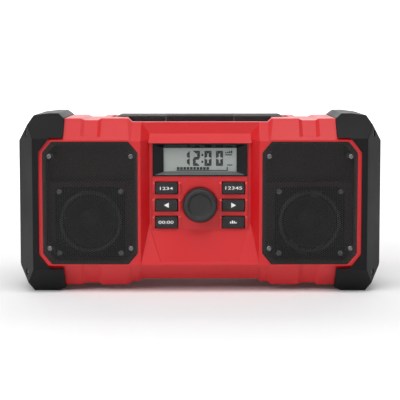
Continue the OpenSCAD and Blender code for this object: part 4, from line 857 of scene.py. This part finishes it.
# display
# a row of marks is its left end, pitch, count, mark width, foot, top and growth from mark to mark
display = {
    "face": boxOf("lcd_module")[0][1], "ink": 0.12, "inkFoot": 0.05, "stroke": 3.1,
    "low": 138.1, "high": 154.8, "digitWidth": 7.8, "gap": 0.1,
    "digits": (("1", -19.1), ("2", -7.8), ("0", 4.9), ("0", 17.5)),
    "rows": {"level": (-25.4, 3.6, 10, 2.9, 133.9, 136.9, 0),
             "signal": (27.6, 2.1, 4, 1.6, 152.0, 153.2, 0.6),
             "small": (30.0, 2.0, 3, 1.5, 138.4, 139.8, 0)},
    "boxes": {"colonHigh": (1.5, 149.0, 3.7, 151.4), "colonLow": (1.5, 141.5, 3.7, 143.9),
              "base": (-25.8, 132.7, 30.5, 133.6), "tick": (29.3, 133.6, 30.5, 136.9),
              "bar": (27.6, 149.8, 35.0, 150.9)},
    "sill": [(-48.9, -67.8, 128.8), (48.9, -67.8, 128.8), (39.2, -60.7, 131.85),
             (-39.2, -60.7, 131.85)],
    "sillThick": 0.25,
}
segmentsOf = {"0": "abcdef", "1": "bc", "2": "abged"}


def digitPolygons(symbol, left):
    d = display
    s = d["stroke"]
    x0, x1 = left, left + d["digitWidth"]
    z0, z1 = d["low"], d["high"]
    zm = (z0 + z1) / 2
    gap = d["gap"]
    bevel = s * 0.5

    def level(z, lean):
        # lean 1 is the top bar, -1 the lower one and 0 the middle one
        if lean == 0:
            a, b = x0 + gap + bevel, x1 - gap - bevel
            tip = bevel * 0.6
            return [(a - tip, z), (a, z + bevel), (b, z + bevel), (b + tip, z), (b, z - bevel),
                    (a, z - bevel)]
        inner = z - lean * s
        return [(x0 + gap, z), (x1 - gap, z), (x1 - gap - s, inner), (x0 + gap + s, inner)]

    def upright(x, lean, low, high, tall):
        # the outer side is long and the inner one short
        ends = (low + gap, high - gap)
        inner = (ends[0] + (s if tall else bevel), ends[1] - (bevel if tall else s))
        return [(x, ends[0]), (x, ends[1]), (x - lean * s, inner[1]), (x - lean * s, inner[0])]

    shapes = {
        "a": level(z1, 1), "d": level(z0, -1), "g": level(zm, 0),
        "b": upright(x1, 1, zm, z1, False), "c": upright(x1, 1, z0, zm, True),
        "f": upright(x0, -1, zm, z1, False), "e": upright(x0, -1, z0, zm, True),
    }
    return [shapes[key] for key in segmentsOf[symbol]]


def makeDisplay():
    d = display
    polygons = []
    for symbol, left in d["digits"]:
        polygons += digitPolygons(symbol, left)
    for left, pitch, count, width, foot, top, growth in d["rows"].values():
        polygons += [boxPoints(left + pitch * i, foot, left + width + pitch * i, top + growth * i)
                     for i in range(count)]
    polygons += [boxPoints(*corners) for corners in d["boxes"].values()]
    linkPiece("displayFigures", marksMesh("displayFigures", polygons, d["face"] + d["inkFoot"],
                                          d["face"] - d["ink"]),
              "housing", "displayInk")
    # sloping grey strip under the window, a painted highlight where the bezel's lower slope catches
    # the light
    bm = bmesh.new()
    closedTube(bm, [[bm.verts.new((x * mm, y * mm, (z + lift) * mm)) for x, y, z in d["sill"]]
                    for lift in (0.0, d["sillThick"])])
    linkPiece("displaySill", meshFrom(bm, "displaySill"), "housing", "displaySill")


makeDisplay()
print("display made")


# battery pack and rear fittings
# gauge, lamp and button are their middle, half size, corner and layers
packLook = {"ribs": 7, "ribHalf": 24.0, "ribWide": 1.3, "ribProud": 0.9, "ribPitch": 4.6,
            "ribLow": 40.0, "rear": boxOf("battery_case")[1][1],
            "gauge": (0, 112, 21, 6, 2.5, [(0, 71.6), (0, 72.5), (0.5, 72.8)]),
            "lamps": 4, "lampLeft": -14, "lampPitch": 6.4,
            "lamp": (112, 2.0, 1.2, 0.9, [(0, 72.7), (0, 72.9), (0.3, 73.0)]),
            "button": (14, 112, 3.4, 3.4, 3.3, [(0, 72.7), (0, 73.2), (0.6, 73.5)], 8)}


def roundedBar(halfLength, halfWidth, height):
    # lies along x and stands up in z
    bm = bmesh.new()
    rings = []
    for inset, lift in ((0, -0.4), (0, height * 0.5), (height * 0.35, height * 0.9),
                        (height * 0.8, height)):
        outline = roundedOutline(halfLength - inset, halfWidth - inset, halfWidth * 0.9 - inset, 3)
        rings.append([bm.verts.new((x * mm, y * mm, lift * mm)) for x, y in outline])
    closedTube(bm, rings)
    return meshFrom(bm, "barShape", 50)


def makePackDetails():
    p = packLook
    places = [((0, p["rear"], p["ribLow"] + p["ribPitch"] * i), (0, 1, 0))
              for i in range(p["ribs"])]
    placeCopies("packRibs", roundedBar(p["ribHalf"], p["ribWide"], p["ribProud"]), places,
                "battery_pack", "softRubber")
    # charge gauge with four lamps and a button
    linkPiece("packGauge", meshFrom(stacked(*p["gauge"]), "packGauge", 35), "battery_pack",
              "glossBlack")
    bm = bmesh.new()
    for i in range(p["lamps"]):
        lamp = stacked(p["lampLeft"] + p["lampPitch"] * i, *p["lamp"])
        bm.from_mesh(meshFrom(lamp, "lamp"))
    linkPiece("packLamps", meshFrom(bm, "packLamps"), "battery_pack", "gaugeGreen")
    linkPiece("packButton", meshFrom(stacked(*p["button"]), "packButton", 40), "battery_pack",
              "softRubber")


makePackDetails()


# the strap is its middle, half size, corner and layers; disc and plug are (radius, depth)
rearLook = {"ribs": 5, "ribHalf": 25, "ribWide": 1.2, "ribProud": 0.8, "ribPitch": 7.5,
            "ribFirst": (-105, 79.45, 84), "capX": 105, "capZ": 60,
            "disc": [(0, 79.6), (6.4, 79.6), (7.0, 80.0), (7.0, 81.2), (6.5, 81.65), (4.4, 81.7),
                     (4.1, 81.45), (0, 81.4)],
            "strap": (105, 65.5, 4.6, 4.0, 0.8, [(0, 79.7), (0, 80.9), (0.4, 81.3)]),
            "plug": [(0, 77.9), (1.6, 77.9), (2.1, 78.4), (2.1, 80.0), (0, 80.0)]}


def makeRearDetails():
    d = rearLook
    x, y, z = d["ribFirst"]
    places = [((x, y, z + d["ribPitch"] * i), (0, 1, 0)) for i in range(d["ribs"])]
    placeCopies("doorRibs", roundedBar(d["ribHalf"], d["ribWide"], d["ribProud"]), places,
                "socket_door", "blackPlastic")
    bm = turned(d["disc"], d["capX"], d["capZ"], 48)
    linkPiece("capDisc", meshFrom(bm, "capDisc", 35), "power_cap", "softRubber")
    # its strap up to the hinge, and the plug that fills the socket
    linkPiece("capStrap", meshFrom(stacked(*d["strap"]), "capStrap", 35), "power_cap",
              "softRubber")
    bm = turned(d["plug"], d["capX"], d["capZ"], 32)
    plug = linkPiece("capPlug", meshFrom(bm, "capPlug", 35), "power_cap", "softRubber")
    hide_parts("dc_jack_cap")


makeRearDetails()
print("rear fittings made")


# finishes of the nodes that are shown as they are
nodeFinishes = {
    "front_housing": "frontRedPaintedShade", "rear_housing": "redPlastic",
    "housing_screws": "screwSteel", "handle_screws": "screwSteel", "speaker_screws": "darkSteel",
    "board_screws": "screwSteel", "keypad": "keyRubber", "encoder_body": "bareSteel",
    "encoder_shaft": "bareSteel", "encoder_plunger": "copperWire", "control_board": "circuitBoard",
    "main_board": "circuitBoard", "heat_sink": "aluminium", "tuner_shield": "bareSteel",
    "ferrite_antenna": "ferrite", "battery_cells": "cellWrap", "dock_terminals": "copperWire",
    "aux_door_pin": "bareSteel", "aux_door_seal": "softRubber", "dc_jack": "glossBlack",
    "lcd_lens": "clearLens", "lcd_module": "displayGlass",
}
for side in ("left", "right"):
    nodeFinishes.update({
        "speaker_frame_" + side: "blackPlastic", "surround_" + side: "surroundRubber",
        "cone_" + side: "paperCone", "dust_cap_" + side: "paperCone",
        "voice_coil_" + side: "copperWire", "spider_" + side: "spiderCloth",
        "magnet_" + side: "bareSteel"})
for nodeName, finish in nodeFinishes.items():
    mesh = cadNodes[nodeName].data
    mesh.materials.clear()
    mesh.materials.append(finishes[finish])
print("nodes finished")


# floor and light
studio = {
    "floor": (0.86, 0.86, 0.865), "glow": 0.80, "glowNear": 0.02,
    "glowReach": (0.3, 2.4), "glowHalf": (0.8, 1.9),
    "flat": 2.6, "turn": 1.2, "world": (0.30, 0.30, 0.31), "worldPower": 0.15,
    "lights": {
        "key": {"place": (-1.5, -1.7, 1.25), "size": (1.2, 1.0), "power": 20.0},
        "fill": {"place": (1.5, -2.0, 0.55), "size": (1.2, 1.0), "power": 1},
        "top": {"place": (0.10, -0.75, 1.7), "size": (2.2, 1.2), "power": 26.5},
        "behind": {"place": (0.0, 1.5, 1.3), "size": (2.4, 0.9), "power": 16},
        "left": {"place": (-2.0, 0.2, 0.5), "size": (0.6, 1.0), "power": 0.8},
        "right": {"place": (2.0, 0.0, 0.6), "size": (0.6, 1.0), "power": 1.2},
    },
}


def softLight(name, look, aim=(0, 0, 0.1)):
    data = bpy.data.lights.new(name, "AREA")
    data.shape = "RECTANGLE"
    data.size, data.size_y = look["size"]
    data.energy = look["power"]
    light = bpy.data.objects.new(name, data)
    light.location = look["place"]
    light.rotation_euler = (Vector(aim) - Vector(look["place"])).to_track_quat("-Z", "Y").to_euler()
    bpy.context.scene.collection.objects.link(light)


def makeStudio():
    for name, look in studio["lights"].items():
        softLight(name + "Light", look)
    # a pale round floor that rises far away into a wall
    bm = bmesh.new()
    flat, turn, steps = studio["flat"], studio["turn"], 96
    profile = [(flat * part, 0) for part in (0.2, 0.6, 0.98)]
    profile += [(flat + turn * math.sin(t * math.pi / 16), turn - turn * math.cos(t * math.pi / 16))
                for t in range(9)] + [(flat + turn, 5.0)]
    rings = [[bm.verts.new((reach * math.sin(2 * math.pi * i / steps),
                            reach * math.cos(2 * math.pi * i / steps), z)) for i in range(steps)]
             for reach, z in profile]
    middle = bm.verts.new((0, 0, 0))
    for i in range(steps):
        bm.faces.new((middle, rings[0][(i + 1) % steps], rings[0][i]))
    joinRings(bm, rings)
    mesh = bpy.data.meshes.new("paleFloor")
    bm.to_mesh(mesh)
    bm.free()
    mesh.shade_smooth()
    floor = bpy.data.objects.new("paleFloor", mesh)
    bpy.context.scene.collection.objects.link(floor)
    finish = bpy.data.materials.new("palePaper")
    finish.use_nodes = True
    tree = finish.node_tree
    shader = tree.nodes["Principled BSDF"]
    place = addNode(tree, "ShaderNodeTexCoord").outputs["Object"]
    mottle = addNode(tree, "ShaderNodeTexNoise", {"Vector": place, "Scale": 3.0, "Detail": 2.0})
    shade = [c * 0.985 for c in studio["floor"]]
    tree.links.new(mixColours(tree, mottle.outputs[0], rgba(studio["floor"]), rgba(shade)),
                   shader.inputs["Base Color"])
    shader.inputs["Roughness"].default_value = 0.9
    # the paper is lit more and more towards the rear, so that it doesn't light the radio from below
    axes = addNode(tree, "ShaderNodeSeparateXYZ", {0: place})
    back = spread(tree, axes.outputs[1], studio["glowNear"], studio["glow"], *studio["glowReach"])
    across = addNode(tree, "ShaderNodeMath", {0: axes.outputs[0]}, operation="ABSOLUTE")
    middle = spread(tree, across.outputs[0], 1, 0, *studio["glowHalf"])
    glow = addNode(tree, "ShaderNodeMath", {0: back, 1: middle}, operation="MULTIPLY")
    tree.links.new(glow.outputs[0], shader.inputs["Emission Strength"])
    shader.inputs["Emission Color"].default_value = (1, 1, 1, 1)
    mesh.materials.append(finish)
    world = bpy.data.worlds.new("studioAir")
    bpy.context.scene.world = world
    world.use_nodes = True
    air = world.node_tree.nodes["Background"]
    air.inputs[0].default_value = rgba(studio["world"])
    air.inputs[1].default_value = studio["worldPower"]
    bpy.context.scene.view_settings.view_transform = "Standard"


makeStudio()
print("studio lit")
